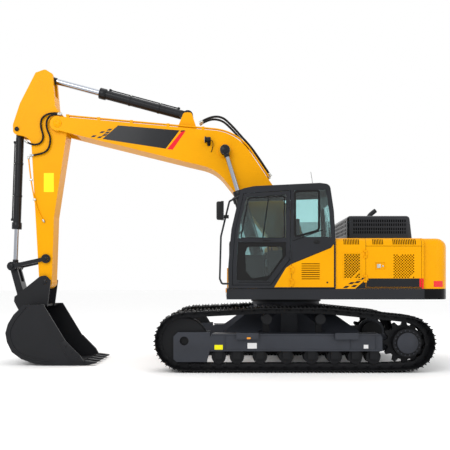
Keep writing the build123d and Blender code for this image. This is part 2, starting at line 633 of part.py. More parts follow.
def boom():
    foot_x, foot_z = FOOT
    tip_x, tip_z = TIP
    outline = ((tip_x + 30, tip_z + 122), (-892, 4083), (250, 2400), (foot_x + 170, foot_z + 40),
               (foot_x + 60, foot_z - 165), (foot_x - 100, foot_z - 135), (-1000, 3110), (-1261, 3435),
               (-1750, 3550), (tip_x + 30, tip_z - 127))
    body = side_prism(outline, -BOOM_HALF, BOOM_HALF, ((1, 850), (7, 700)))
    body += drum(tip_x, tip_z, 130, -BOOM_HALF, BOOM_HALF)
    body += drum(foot_x, foot_z, 175, -BOOM_HALF, BOOM_HALF)
    body -= drum(foot_x, foot_z, 50 + RUNNING, -BOOM_HALF - 1, BOOM_HALF + 1)
    slot = FORK_HALF
    body -= block(tip_x - 200, tip_x + 330, -slot, slot, tip_z - 400, tip_z + 400)
    body += drum(tip_x, tip_z, 45, -BOOM_HALF, BOOM_HALF)
    x, z = ARM_CYL
    ear = ((x - 220, z - 330), (x - 70, z + 40), (x + 70, z + 40), (x + 190, z - 330))
    for side in (-1, 1):
        body += side_prism(ear, side * 98, side * 128, ((1, 50), (2, 50)))
        body += drum(*BOOM_EYE, 120, side * (BOOM_HALF - 1), side * (BOOM_CYL_Y - 61))
    body += drum(x, z, 45, -128, 128)
    add("boom", body)
    for side in (-1, 1):
        bank = None
        for y in (PIPE_Y, PIPE_Y + 33):
            run = pipe_run(((PIPE_FRONT, side * y, boom_top(PIPE_FRONT) + PIPE_LIFT),
                            (-873, side * y, boom_top(-892) + PIPE_LIFT - 2),
                            (-330, side * y, 3315)), PIPE_R, 884)
            bank = run if bank is None else bank + run
        for x in (-3890, -3340, -2760, -2110, -1490):
            foot = ((x - 25, boom_top(x - 25)), (x + 25, boom_top(x + 25)),
                    (x + 25, boom_top(x) + 52), (x - 25, boom_top(x) + 52))
            bank += Pos(0, 0, SEAT) * side_prism(foot, side * (PIPE_Y - 15), side * (BOOM_HALF - 6))
        add("boom_pipes", bank)


# ---------------------------------------------------------------- cylinders
def cylinder(names, base, eye, gland, inner, bores, ys, eye_half):
    """Barrel and rod along base-eye.

    gland is the barrel's length from the base pin, inner the distance of the rod's hidden end.
    bores is (barrel radius, rod radius, eye radius, base pin radius).
    """
    barrel_r, rod_r, eye_r, pin_r = bores
    for y in ys:
        def at(distance):
            x, z = ahead(base, eye, distance)
            return (x, y, z)
        length = hypot(eye[0] - base[0], eye[1] - base[1])
        barrel = bar(at(NECK - 10), at(gland - 90), barrel_r)
        barrel += bar(at(gland - 120), at(gland), barrel_r + GLAND_RIM)
        barrel += link_web(base, ahead(base, eye, NECK), barrel_r * 0.75, y - eye_half, y + eye_half)
        barrel += drum(*base, eye_r, y - eye_half, y + eye_half)
        barrel -= bar(at(eye_r + 25), at(gland + 5), rod_r + RUNNING)
        barrel -= drum(*base, pin_r + RUNNING, y - eye_half - 1, y + eye_half + 1)
        rod = bar(at(inner), at(length - eye_r * 0.5), rod_r)
        rod += drum(*eye, eye_r, y - eye_half, y + eye_half)
        rod += drum(*eye, pin_r, y - eye_half - 6, y + eye_half + 6)
        add(names[0], barrel)
        add(names[1], rod)


def cylinders():
    cylinder(("boom_barrels", "boom_rods"), BOOM_CYL, BOOM_EYE, 1680, 1000, (78, 38, 85, 45),
             (-BOOM_CYL_Y, BOOM_CYL_Y), 54)
    cylinder(("arm_barrel", "arm_rod"), ARM_CYL, ARM_EYE, 1650, 980, (82, 52, 95, 45), (0,), 88)
    cylinder(("bucket_barrel", "bucket_rod"), BUCKET_CYL, LINK_PIN, 1770, 1000, (70, 40, 80, 40), (0,), 50)


# ---------------------------------------------------------------- arm and linkage
def arm():
    drop = 120
    outline = ((-4310, 5230), (-4480, 5170), (-4760, 4620), (-4885, 4240), (-4880, 4080), (-4560, 4010),
               (-4420, 1600 - 60), (-4400, 1500 - drop + 60), (-4190, 1500 - drop + 60),
               (-4150, 2600), (-3930, 4050), (-3935, 4330), (-4130, 4560), (-4180, 5150))
    body = side_prism(outline, -ARM_HALF, ARM_HALF, ((0, 60), (3, 70), (4, 70), (5, 200), (10, 120), (12, 120)))
    body += drum(*BUCKET_PIN, 115, -ARM_HALF, ARM_HALF)
    body -= drum(*TIP, 45 + RUNNING, -ARM_HALF - 1, ARM_HALF + 1)
    eye_x, eye_z = ARM_EYE
    body -= block(eye_x - 400, eye_x + 400, -98, 98, eye_z - 330, eye_z + 200)
    cyl_x, cyl_z = BUCKET_CYL
    body -= block(cyl_x - 400, cyl_x + 175, -95, 95, cyl_z - 400, cyl_z + 250)
    body += drum(cyl_x, cyl_z, 40, -ARM_HALF, ARM_HALF)
    for side in (-1, 1):
        body += drum(*BUCKET_CYL, 50, side * 56, side * ARM_HALF)
    body += drum(*BUCKET_PIN, 45, -EAR_GAP - EAR, EAR_GAP + EAR)
    body += drum(*GUIDE_PIN, 40, -ARM_HALF - 45, ARM_HALF + 45)
    add("arm", body)


def links():
    guide = []
    for side in (-1, 1):
        y0, y1 = side * (ARM_HALF + 8), side * (ARM_HALF + 38)
        plate = drum(*GUIDE_PIN, 80, y0, y1) + drum(*LINK_PIN, 80, y0, y1)
        plate += link_web(GUIDE_PIN, LINK_PIN, 34, y0, y1)
        plate -= drum(*GUIDE_PIN, 40 + RUNNING, y0 - side, y1 + side)
        guide.append(plate)
    both = guide[0] + guide[1]
    pin = drum(*LINK_PIN, 40, -ARM_HALF - 38, -66) + drum(*LINK_PIN, 40, 66, ARM_HALF + 38)
    add("guide_link", both + pin)
    body = None
    for side in (-1, 1):
        y0, y1 = side * 78, side * 130
        plate = drum(*LINK_PIN, 85, y0, y1) + drum(*BUCKET_EYE, 80, y0, y1)
        plate += link_web(LINK_PIN, BUCKET_EYE, 60, y0, y1)
        plate -= drum(*LINK_PIN, 40 + RUNNING, y0 - side, y1 + side)
        body = plate if body is None else body + plate
    body += link_web(ahead(LINK_PIN, BUCKET_EYE, 300), ahead(LINK_PIN, BUCKET_EYE, 480), 60, -80, 80)
    add("h_link", body)


def link_web(start, end, half, y0, y1):
    length = hypot(end[0] - start[0], end[1] - start[1])
    nx, nz = -(end[1] - start[1]) / length * half, (end[0] - start[0]) / length * half
    points = ((start[0] + nx, start[1] + nz), (end[0] + nx, end[1] + nz),
              (end[0] - nx, end[1] - nz), (start[0] - nx, start[1] - nz))
    return side_prism(points, y0, y1)


# ---------------------------------------------------------------- bucket
def bucket():
    outer = ((-4547, 1040), (-4718, 866), (-4812, 712), (-4855, 558), (-4828, 404), (-4744, 232),
             (-4581, 112), (-4342, 27), (-4033, 2), (-3742, 4), (LIP_X, 8), (LIP_X, 44), (-3560, 150),
             (-3828, 421), (-4204, 1040))
    inner = ((-4500, 1005), (-4690, 850), (-4782, 700), (-4822, 556), (-4797, 414), (-4720, 252),
             (-4568, 140), (-4336, 56), (-4031, 32), (-3742, 34), (-3300, 46), (-3300, 1300),
             (-4204, 1300), (-4280, 1005))
    half = BUCKET_HALF
    shell = side_prism(outer, -half, half)
    shell -= side_prism(inner, -half + 28, half - 28)
    bx, bz = BUCKET_PIN
    ex, ez = BUCKET_EYE
    ear = ((bx + 110, bz + 30), (bx + 20, bz + 120), (bx - 80, bz + 100), (ex - 90, ez + 40),
           (ex - 100, ez - 40), (-4720, 860), (-4560, 1000), (-4250, 1000))
    for side in (-1, 1):
        plate = side_prism(ear, side * EAR_GAP, side * (EAR_GAP + EAR), ((1, 60), (2, 60)))
        plate -= drum(bx, bz, 45 + RUNNING, side * (EAR_GAP - 1), side * (EAR_GAP + EAR + 1))
        shell += plate
    add("bucket", shell)
    teeth = []
    for index in range(5):
        y = (index - 2) * (2 * half - 130) / 4
        tooth = side_prism(((LIP_X - 90, 1), (LIP_X, 1), (-3310, 36), (-3312, 58), (LIP_X, 84),
                            (LIP_X - 90, 64)), y - 52, y + 52)
        teeth.append(tooth - shell)
    add("bucket_teeth", *[s for t in teeth for s in t.solids()])


def export_all():
    os.makedirs("parts", exist_ok=True)
    for name, solids in NODES.items():
        flat = [Solid(s.wrapped) for item in solids for s in item.solids()]
        shape = flat[0] if len(flat) == 1 else Compound(flat)
        export_step(shape, f"parts/{name}.step")


undercarriage()
platform()
counterweight()
engine_bay()
cab()
house_left()
house_right()
boom()
cylinders()
arm()
links()
bucket()
export_all()
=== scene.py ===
"""Finish of a full-size crawler excavator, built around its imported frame.

Metres, +Z up. The origin is on the slew axis at ground level, the machine faces -X and its cab is on
its left side, -Y.
"""

import cmath
import logging
import math
from collections.abc import Callable, Iterator
from contextlib import contextmanager
from dataclasses import dataclass
from enum import Enum

import bpy
from mathutils import Matrix, Vector


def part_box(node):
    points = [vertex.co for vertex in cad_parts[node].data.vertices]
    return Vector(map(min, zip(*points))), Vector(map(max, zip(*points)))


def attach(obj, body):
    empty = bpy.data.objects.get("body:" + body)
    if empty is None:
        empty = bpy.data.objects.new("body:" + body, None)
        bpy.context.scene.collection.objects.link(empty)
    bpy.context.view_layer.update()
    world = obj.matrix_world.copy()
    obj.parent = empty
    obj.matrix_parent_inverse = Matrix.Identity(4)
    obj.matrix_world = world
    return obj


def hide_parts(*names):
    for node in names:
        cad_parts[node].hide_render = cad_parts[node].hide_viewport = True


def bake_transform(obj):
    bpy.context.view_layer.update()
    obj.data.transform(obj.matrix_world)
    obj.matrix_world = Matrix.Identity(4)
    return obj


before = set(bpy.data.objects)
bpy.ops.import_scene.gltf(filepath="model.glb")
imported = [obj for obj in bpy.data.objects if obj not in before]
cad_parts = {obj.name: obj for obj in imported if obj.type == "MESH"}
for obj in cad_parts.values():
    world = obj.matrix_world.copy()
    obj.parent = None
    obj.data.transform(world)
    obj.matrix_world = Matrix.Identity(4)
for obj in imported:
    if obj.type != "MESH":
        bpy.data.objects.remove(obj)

LOG = logging.getLogger("excavator")
MM = 0.001
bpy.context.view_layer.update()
SIDES = ((-1, "left"), (1, "right"))
BAYS = (("radiator_door", -1), ("pump_door", 1))

Point = tuple[float, float, float]
Pair = tuple[float, float]
Outline = tuple[Pair, ...]      # corners or a line in x and z
Path = tuple[Point, ...]
Piece = bpy.types.Object
Socket = bpy.types.NodeSocket


# ---- finishes
def linear(code: str) -> tuple[float, float, float, float]:
    """Turn an sRGB hex colour into linear light.

    Args:
        code: six hex digits.

    Returns:
        Red, green and blue in linear light, and full alpha.
    """
    parts = [int(code[i:i + 2], 16) / 255 for i in (0, 2, 4)]
    red, green, blue = [p / 12.92 if p <= 0.04045 else ((p + 0.055) / 1.055) ** 2.4 for p in parts]
    return red, green, blue, 1.0


def add_node(tree: bpy.types.NodeTree, kind: str, settings: dict, links: dict) -> bpy.types.Node:
    """Add one node with its settings and the links that come into it.

    Args:
        tree: the material's tree.
        kind: the node's type without its prefix, such as TexNoise.
        settings: properties by name, and unlinked inputs by "in:" and the input's name or number.
        links: output sockets by the name or number of the input that they feed.

    Returns:
        The new node.
    """
    made = tree.nodes.new("ShaderNode" + kind)
    for key, value in settings.items():
        if key.startswith("in:"):
            socket = key[3:]
            made.inputs[int(socket) if socket.isdigit() else socket].default_value = value
        else:
            setattr(made, key, value)
    for key, output in links.items():
        tree.links.new(output, made.inputs[key])
    return made


class Mixture:
    """A material while it is wired: its tree, its shader and the Object coordinates."""

    def __init__(self, name: str, colour: str, inputs: dict[str, float]) -> None:
        """Start a material from its colour and its shader's inputs."""
        self.made = bpy.data.materials.new(name)
        self.made.use_nodes = True
        self.made.diffuse_color = linear(colour)
        self.tree = self.made.node_tree
        self.shader = self.tree.nodes["Principled BSDF"]
        for key, value in {"Base Color": linear(colour), "Coat Roughness": 0.12, **inputs}.items():
            self.shader.inputs[key].default_value = value
        self.place = self.add("TexCoord", {}, {}).outputs["Object"]

    def add(self, kind: str, settings: dict, links: dict) -> bpy.types.Node:
        """Add one node to this material."""
        return add_node(self.tree, kind, settings, links)

    def feed(self, socket: str, output: Socket) -> None:
        """Link an output to one of the shader's inputs."""
        self.tree.links.new(output, self.shader.inputs[socket])

    def noise(self, size_mm: float, detail: float = 2.0, place: Socket | None = None) -> Socket:
        """Add noise of a real size and return its strength."""
        settings = {"in:Scale": 1 / (size_mm * MM), "in:Detail": detail}
        return self.add("TexNoise", settings, {"Vector": place or self.place}).outputs["Fac"]

    def vary_gloss(self, roughness: float, drift: Socket, least: float, most: float) -> None:
        """Let the roughness drift between two shares of itself."""
        gloss = self.add("MapRange", {"in:3": roughness * least, "in:4": roughness * most}, {"Value": drift})
        self.feed("Roughness", gloss.outputs["Result"])

    def emboss(self, height: Socket, strength: float, depth_mm: float) -> None:
        """Raise a height by a real depth."""
        bump = self.add("Bump", {"in:Strength": strength, "in:Distance": depth_mm * MM}, {"Height": height})
        self.feed("Normal", bump.outputs["Normal"])


class Coat(Enum):
    """How much clear gloss lies over a finish."""

    NONE = 0.0
    THIN = 0.08
    FULL = 0.3


@dataclass(frozen=True)
class Finish:
    """A surface as its colour, its gloss and the grain that breaks it up."""

    name: str
    colour: str
    slot: str
    roughness: float = 0.4
    metallic: float = 0.0
    specular: float = 0.22
    coat: Coat = Coat.NONE
    mottle: float = 0.04        # how far the tone drifts
    mottle_mm: float = 600.0
    grain: Pair = (3.0, 0.05)   # size and depth of its own grain in mm, drawn coarse enough to show
    shade: str = ""             # second colour of the drift, or none

    def start(self, also: dict[str, float] | None = None) -> Mixture:
        """Start the material with its gloss and metal, and with further inputs of its shader."""
        return Mixture(self.name, self.colour, {
            "Metallic": self.metallic, "Specular IOR Level": self.specular, "Coat Weight": self.coat.value,
            "Roughness": self.roughness, **(also or {})})

    def material(self) -> bpy.types.Material:
        """Build the material from slow tone drift, gloss drift and a fine bump."""
        mixed = self.start()
        drift = mixed.noise(self.mottle_mm, 5.0)
        dark = self.shade or "{:02x}{:02x}{:02x}".format(
            *[int(int(self.colour[i:i + 2], 16) * (1 - 3 * self.mottle)) for i in (0, 2, 4)])
        tone = mixed.add("ValToRGB", {}, {"Fac": drift})
        for stop, position, colour in zip(tone.color_ramp.elements, (0.3, 0.62), (dark, self.colour)):
            stop.position, stop.color = position, linear(colour)
        mixed.vary_gloss(self.roughness, drift, 0.85, 1.2)
        mixed.emboss(mixed.noise(self.grain[0]), 0.6, self.grain[1])
        mixed.feed("Base Color", self.painted(mixed, tone.outputs["Color"]))
        return mixed.made

    def painted(self, mixed: Mixture, colour: Socket) -> Socket:
        """Leave the colour as it is; a finish with a second coat paints it here."""
        return colour


@dataclass(frozen=True)
class TwoTone(Finish):
    """Enamel that is masked and sprayed dark below a height."""

    low_colour: str = "0c0c0e"
    split_z: float = 1.32

    def painted(self, mixed: Mixture, colour: Socket) -> Socket:
        """Paint all below the masked line in the low colour."""
        height = mixed.add("SeparateXYZ", {}, {"Vector": mixed.place}).outputs["Z"]
        above = mixed.add("Math", {"operation": "GREATER_THAN", "in:1": self.split_z}, {0: height}).outputs[0]
        settings = {"data_type": "RGBA", "in:6": linear(self.low_colour)}
        return mixed.add("Mix", settings, {0: above, 7: colour}).outputs[2]


@dataclass(frozen=True)
class Turned(Finish):
    """Ground or turned metal with fine rings round the Y axis or lengthwise streaks."""

    streak_mm: float = 8.0

    def material(self) -> bpy.types.Material:
        """Build polished metal whose gloss varies in fine streaks."""
        mixed = self.start()
        stretch = mixed.add("Mapping", {"in:Scale": (1.0, 1.0, 0.08)}, {"Vector": mixed.place})
        streak = mixed.noise(self.streak_mm, 3.0, stretch.outputs["Vector"])
        mixed.vary_gloss(self.roughness, streak, 0.7, 1.5)
        mixed.emboss(streak, 0.3, 0.02)
        return mixed.made


@dataclass(frozen=True)
class Glazing(Finish):
    """Green-tinted toughened glass."""

    def material(self) -> bpy.types.Material:
        """Build clear glass with a body tint and the faint waviness of toughening."""
        mixed = self.start({"Transmission Weight": 1.0, "IOR": 1.5})
        mixed.emboss(mixed.noise(self.grain[0]), 0.1, self.grain[1])
        return mixed.made


@dataclass(frozen=True)
class Woven(Finish):
    """Seat cloth whose threads cross at right angles."""

    thread_mm: float = 6.0      # real thread is about 1 mm, drawn coarser so that it shows

    def material(self) -> bpy.types.Material:
        """Build cloth from two crossed bands of threads."""
        mixed = self.start({"Sheen Weight": 0.3})
        scale = 1 / (self.thread_mm * MM) / 6.28
        warp, weft = [mixed.add("TexWave", {"bands_direction": way, "in:Scale": scale, "in:Distortion": 0.3},
                                {"Vector": mixed.place}).outputs["Fac"] for way in ("Y", "Z")]
        both = mixed.add("Math", {"operation": "MULTIPLY"}, {0: warp, 1: weft}).outputs[0]
        colours = {"data_type": "RGBA", "in:6": linear(self.colour), "in:7": linear(self.shade)}
        mixed.feed("Base Color", mixed.add("Mix", colours, {0: both}).outputs[2])
        mixed.emboss(both, 0.8, 0.4)
        return mixed.made


# Two-pack acrylic enamel over primed steel plate: bright, a little orange peel, a hard gloss.
YELLOW = Finish("yellow_enamel", "e29b00", "yellow_paint", 0.34, specular=0.08, mottle=0.012)
WEIGHT = TwoTone("counterweight_enamel", "e29b00", "yellow_paint", 0.34, specular=0.08, mottle=0.012)
# The same enamel in charcoal, satin: cab frame, hood and deck skirt.
CHARCOAL = Finish("charcoal_enamel", "1c1e23", "dark_paint", 0.36, coat=Coat.THIN, mottle=0.03)
# Chassis enamel over rolled plate and castings, duller and rougher.
CHASSIS = Finish("chassis_enamel", "33363d", "dark_paint", 0.5, mottle=0.05, grain=(5, 0.15))
# Enamel on the cylinders' tubes and the linkage castings.
GEAR = Finish("gear_enamel", "15161a", "dark_paint", 0.34, mottle=0.04, grain=(6, 0.2))
# Painted track steel with the paint rubbed thin to brown steel in patches.
TRACK = Finish("track_steel", "151619", "track_steel", 0.55, metallic=0.3, mottle=0.05, mottle_mm=90,
               grain=(7, 0.5), shade="0e0d0d")
# Grey iron as cast, painted: sand-cast skin a few millimetres coarse.
CASTING = Finish("cast_iron", "17181b", "cast_iron", 0.6, metallic=0.2, mottle=0.05, grain=(9, 0.6))
# Bucket plate, painted dark, rolled finish.
BUCKET = Finish("bucket_enamel", "16171b", "dark_paint", 0.48, mottle=0.05, grain=(6, 0.3))
# Hard chrome, ground and polished: near mirror with faint lengthwise grinding marks.
CHROME = Turned("hard_chrome", "9ea2aa", "chrome_rod", 0.14, metallic=1.0)
# Zinc-plated steel fittings: pale, softly reflective.
ZINC = Turned("zinc_plate", "b9bab6", "chrome_rod", 0.35, metallic=1.0)
GLASS = Glazing("tinted_glass", "a9c4c4", "glass", 0.01, grain=(400, 0.3))
# Moulded black polypropylene with a leather-like grain.
PLASTIC = Finish("black_plastic", "0f1012", "black_plastic", 0.5, mottle=0.02, grain=(4, 0.25))
# Wire-braided hose cover, extruded nitrile rubber.
RUBBER = Finish("hose_rubber", "0b0b0c", "black_plastic", 0.55, mottle=0.02, grain=(4, 0.2))
SEAT = Woven("seat_cloth", "24262a", "seat_cloth", 0.85, shade="3c4046")
# Calendered vinyl film for stripes and blank labels: thin, even and softly glossy.
BLACK_FILM = Finish("black_vinyl_film", "0e1015", "dark_paint", 0.3, coat=Coat.THIN, mottle=0.01)
RED_FILM = Finish("red_vinyl_film", "d8071c", "dark_paint", 0.3, coat=Coat.THIN, mottle=0.01)
LABEL_YELLOW = Finish("yellow_label_film", "e6df05", "yellow_paint", 0.35, mottle=0.01)
LABEL_WHITE = Finish("white_label_film", "d6d6d6", "dark_paint", 0.35, mottle=0.01)
# Injection-moulded acrylic lenses with moulded prisms.
AMBER_LENS, RED_LENS, CLEAR_LENS = [
    Finish(name, colour, "glass", roughness, specular=0.5, coat=Coat.FULL, grain=(grain, 0.8))
    for name, colour, roughness, grain in (("amber_lens", "f09a10", 0.15, 12),
                                           ("red_lens", "e00d18", 0.15, 12),
                                           ("clear_lens", "d9dcdc", 0.08, 14))]
# Woven steel gauze, painted black, made near-black and dull so that it also paints the shade behind it; the
# films on the shoulders and the access door's louvres are painted shade alone.
GAUZE_AND_PAINTED_SHADE = Finish("black_gauze_and_painted_shade", "040404", "dark_paint", 0.9, specular=0.05, mottle=0.02, grain=(6, 0.4))
PALE_FLOOR = Finish("pale_floor", "fcfcfc", "", 0.9, specular=0.05, mottle=0.001, grain=(40, 0.05))
MIRROR = Turned("silvered_glass", "c9ced2", "chrome_rod", 0.03, metallic=1.0)

# What each finish covers of the frame, by how the nodes' names start; the longest match counts.
NODE_FINISHES = {
    CHASSIS: "track_frame carbody tow_eye",
    TRACK: "track",
    CASTING: "idler sprocket bottom carrier slew_ring engine",
    CHARCOAL: "platform firewall engine_hood exhaust_tail cab_shell cab_door handrail",
    WEIGHT: "counterweight",
    YELLOW: "side_panel radiator_door pump_door engine_deck cab_side_panel access_door toolbox_steps "
            "fuel_tank hydraulic_tank boom arm",
    GLASS: "cab_glass cab_door_glass",
    SEAT: "operator_seat",
    PLASTIC: "consoles mirror",
    GEAR: "boom_barrels arm_barrel bucket_barrel guide_link h_link",
    CHROME: "boom_rods arm_rod bucket_rod",
    BUCKET: "bucket",
}


class Paintshop:
    """Makes each finish once and gives it to whatever wears it."""

    def __init__(self) -> None:
        """Start with nothing mixed."""
        self.mixed: dict[str, bpy.types.Material] = {}

    def coat(self, piece: Piece, finish: Finish) -> None:
        """Give a mesh the finish as its only material, mixed when it is first asked for."""
        if finish.name not in self.mixed:
            self.mixed[finish.name] = finish.material()
        piece.data.materials.clear()
        piece.data.materials.append(self.mixed[finish.name])

    def coat_nodes(self) -> None:
        """Finish every carried-over node by the longest name in the table that starts its own."""
        table = {start: finish for finish, starts in NODE_FINISHES.items() for start in starts.split()}
        for name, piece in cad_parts.items():
            self.coat(piece, table[max([start for start in table if name.startswith(start)], key=len)])
        LOG.info("finished %d frame nodes", len(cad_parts))


SHOP = Paintshop()


# ---- hand tools
def use(piece: Piece) -> None:
    """Select one piece alone and make it active."""
    bpy.ops.object.select_all(action="DESELECT")
    piece.select_set(True)
    bpy.context.view_layer.objects.active = piece


def add(kind: str, **settings: object) -> Piece:
    """Add a primitive and put its place and size into its mesh."""
    bpy.ops.object.select_all(action="DESELECT")
    getattr(bpy.ops.mesh, f"primitive_{kind}_add")(**settings)
    bpy.ops.object.transform_apply(location=True, rotation=True, scale=True)
    return bpy.context.object


@contextmanager
def editing(piece: Piece, kind: str = "VERT", test: Callable | None = None) -> Iterator[None]:
    """Open a piece in edit mode with all of it selected, or with what passes a test.

    Args:
        piece: the mesh to edit.
        kind: VERT, EDGE or FACE, what is selected.
        test: says of an edge or a face whether it is selected.
    """
    use(piece)
    bpy.ops.object.mode_set(mode="EDIT")
    bpy.ops.mesh.select_mode(type=kind)
    bpy.ops.mesh.select_all(action="DESELECT" if test else "SELECT")
    if test:
        bpy.ops.object.mode_set(mode="OBJECT")
        for item in piece.data.edges if kind == "EDGE" else piece.data.polygons:
            item.select = test(item)
        bpy.ops.object.mode_set(mode="EDIT")
    yield
    bpy.ops.object.mode_set(mode="OBJECT")


def bisect(place: Point, out: Point, **settings: bool) -> None:
    """Cut all of the mesh that is being edited along a plane."""
    bpy.ops.mesh.select_all(action="SELECT")
    bpy.ops.mesh.bisect(plane_co=place, plane_no=out, **settings)


def draw_out(step: Point) -> None:
    """Draw the selected faces of the mesh that is being edited out by a step."""
    bpy.ops.mesh.extrude_region_move(TRANSFORM_OT_translate={"value": step})


def thicken(y: float) -> None:
    """Draw a flat mesh that is being edited out along Y and close it."""
    bpy.ops.mesh.select_all(action="SELECT")
    draw_out((0, y, 0))
    bpy.ops.mesh.select_all(action="SELECT")
    bpy.ops.mesh.normals_make_consistent(inside=False)


def smooth(piece: Piece, angle: float) -> Piece:
    """Shade a piece smooth but for the edges that turn more than an angle in degrees."""
    use(piece)
    bpy.ops.object.shade_smooth_by_angle(angle=math.radians(angle))
    return piece


def modify(piece: Piece, kind: str, **settings: object) -> Piece:
    """Apply one modifier with the given settings to a piece."""
    use(piece)
    modifier = piece.modifiers.new(kind.lower(), kind)
    for key, value in settings.items():
        setattr(modifier, key, value)
    bpy.ops.object.modifier_apply(modifier=modifier.name)
    return piece


def round_edges(piece: Piece, radius_mm: float, segments: int = 2, angle: float = 40.0) -> Piece:
    """Round every edge that turns more than an angle in degrees, over a number of faces."""
    modify(piece, "BEVEL", width=radius_mm * MM, segments=segments, limit_method="ANGLE",
           angle_limit=math.radians(angle))
    return smooth(piece, angle)


def block(one: Point, other: Point, round_mm: float = 3.0) -> Piece:
    """Make a block between two opposite corners, with rounded edges."""
    made = add("cube", size=1, location=[(a + b) / 2 for a, b in zip(one, other)],
               scale=[abs(b - a) for a, b in zip(one, other)])
    return round_edges(made, round_mm)


def rod(start: Point, end: Point, radius: float, sides: int = 20, round_mm: float = 1.5) -> Piece:
    """Make a round bar between two points with eased ends.

    Args:
        start: centre of one end.
        end: centre of the other end.
        radius: the bar's radius in metres.
        sides: how many flats go round it; six make a bolt head.
        round_mm: radius of the end edges.

    Returns:
        The new piece.
    """
    run = Vector(end) - Vector(start)
    made = add("cylinder", vertices=sides, radius=radius, depth=run.length,
               location=(Vector(start) + Vector(end)) / 2, rotation=run.to_track_quat("Z", "Y").to_euler())
    return round_edges(made, round_mm, 1, 50)


def pin(x: float, z: float, y0: float, y1: float, radius: float, sides: int = 20,
        round_mm: float = 1.5) -> Piece:
    """Make a round bar along Y, from one y to the other."""
    return rod((x, y0, z), (x, y1, z), radius, sides, round_mm)


def rect(x0: float, x1: float, z0: float, z1: float) -> Outline:
    """Corners of an upright rectangle."""
    return (x0, z0), (x1, z0), (x1, z1), (x0, z1)


def plate(outline: Outline, y: float, thick: float, round_mm: float = 0.0) -> Piece:
    """Cut a flat upright plate along Y out of a larger sheet, one straight cut for each edge.

    Args:
        outline: corners (x, z) of a convex shape, in order.
        y: the side nearer to the machine's middle.
        thick: thickness, negative towards the left side.
        round_mm: radius of its edges, or none.

    Returns:
        The new piece.
    """
    middle = Vector((sum(p[0] for p in outline) / len(outline), y, sum(p[1] for p in outline) / len(outline)))
    reach = 2.2 * max((Vector((x, y, z)) - middle).length for x, z in outline)
    piece = add("plane", size=reach, location=middle, rotation=(math.pi / 2, 0, 0))
    with editing(piece):
        for (x0, z0), (x1, z1) in zip(outline, outline[1:] + outline[:1]):
            out = Vector((x1 - x0, 0, z1 - z0)).normalized().cross(Vector((0, 1, 0)))
            if (Vector((x0, y, z0)) - middle).dot(out) < 0:
                out = -out
            bisect((x0, y, z0), out, clear_outer=True)
        thicken(thick)
    return round_edges(piece, round_mm) if round_mm else piece


def bordered(outline: Outline, y: float, thick: float, width: float, round_mm: float) -> Piece:
    """Cut a flat plate along Y and take out its middle, leaving an even border.

    Args:
        outline: outer corners (x, z) of a convex shape, in order.
        y: the side nearer to the machine's middle.
        thick: thickness, negative towards the left side.
        width: width of the border, in metres.
        round_mm: radius of the corners seen from the side.

    Returns:
        The new piece.
    """
    piece = plate(outline, y, math.copysign(0.001, thick))
    with editing(piece, "FACE", lambda face: abs(face.center.y - y) > 0.0002):
        bpy.ops.mesh.delete(type="FACE")
        bpy.ops.mesh.select_all(action="SELECT")
        bpy.ops.mesh.bevel(offset=round_mm * MM, segments=4, affect="VERTICES")
        bpy.ops.mesh.select_all(action="SELECT")
        bpy.ops.mesh.inset(thickness=width)
        bpy.ops.mesh.delete(type="FACE")
        thicken(thick)
    return piece


def hose(points: Path, radius: float, rings: int = 8, sides: int = 3) -> Piece:
    """Lay a round hose or tube along one smooth curve.

    Args:
        points: control points that it goes past, in metres.
        radius: the hose's radius in metres.
        rings: steps of the curve for each point.
        sides: fineness of its section.

    Returns:
        The new piece as a mesh.
    """
    path = bpy.data.curves.new("path", "CURVE")
    path.dimensions, path.bevel_depth, path.bevel_resolution = "3D", radius, sides
    path.use_fill_caps = True
    spline = path.splines.new("NURBS")
    spline.points.add(len(points) - 1)
    for slot, point in zip(spline.points, points):
        slot.co = (*point, 1)
    spline.order_u, spline.use_endpoint_u, spline.resolution_u = 3, True, rings
    laid = bpy.data.objects.new("path", path)
    bpy.context.scene.collection.objects.link(laid)
    mesh = bpy.data.meshes.new_from_object(laid)
    bpy.data.objects.remove(laid)
    piece = bpy.data.objects.new("hose", mesh)
    bpy.context.scene.collection.objects.link(piece)
    with editing(piece):
        bpy.ops.mesh.remove_doubles(threshold=0.00001)
        bpy.ops.mesh.normals_make_consistent(inside=False)
    return smooth(piece, 50)


def copies(piece: Piece, places: list[Matrix], keep: bool = False) -> list[Piece]:
    """Copy a piece to each place, every copy with a mesh of its own.

    Args:
        piece: what is copied.
        places: transforms from the piece's own place.
        keep: whether the first piece stays too, as the first of the list.

    Returns:
        The copies, after the first piece if it stays.
    """
    made = [piece] if keep else []
    for place in places:
        twin = bpy.data.objects.new(piece.name, piece.data.copy())
        twin.data.transform(place)
        bpy.context.scene.collection.objects.link(twin)
        made.append(twin)
    if not keep:
        bpy.data.objects.remove(piece)
    return made


def join(pieces: list[Piece]) -> Piece:
    """Join pieces of one finish into the first one's mesh."""
    use(pieces[0])
    for piece in pieces:
        piece.select_set(True)
    if len(pieces) > 1:
        bpy.ops.object.join()
    return pieces[0]


def row(piece: Piece, steps: list[Point]) -> Piece:
    """Set copies of a piece at each step from its own place and join them."""
    return join(copies(piece, [Matrix.Translation(step) for step in steps]))


def ring(piece: Piece, x: float, z: float, count: int) -> list[Piece]:
    """Set a number of copies of a piece evenly round an axis along Y."""
    axis = Matrix.Translation((x, 0, z))
    turns = [Matrix.Rotation(math.radians(360 / count * k), 4, "Y") for k in range(count)]
    return copies(piece, [axis @ turn @ axis.inverted() for turn in turns])


def cut(piece: Piece, cutter: Piece) -> Piece:
    """Take the cutter's shape out of a piece and throw the cutter away."""
    modify(piece, "BOOLEAN", operation="DIFFERENCE", solver="EXACT", object=cutter)
    bpy.data.objects.remove(cutter)
    return piece


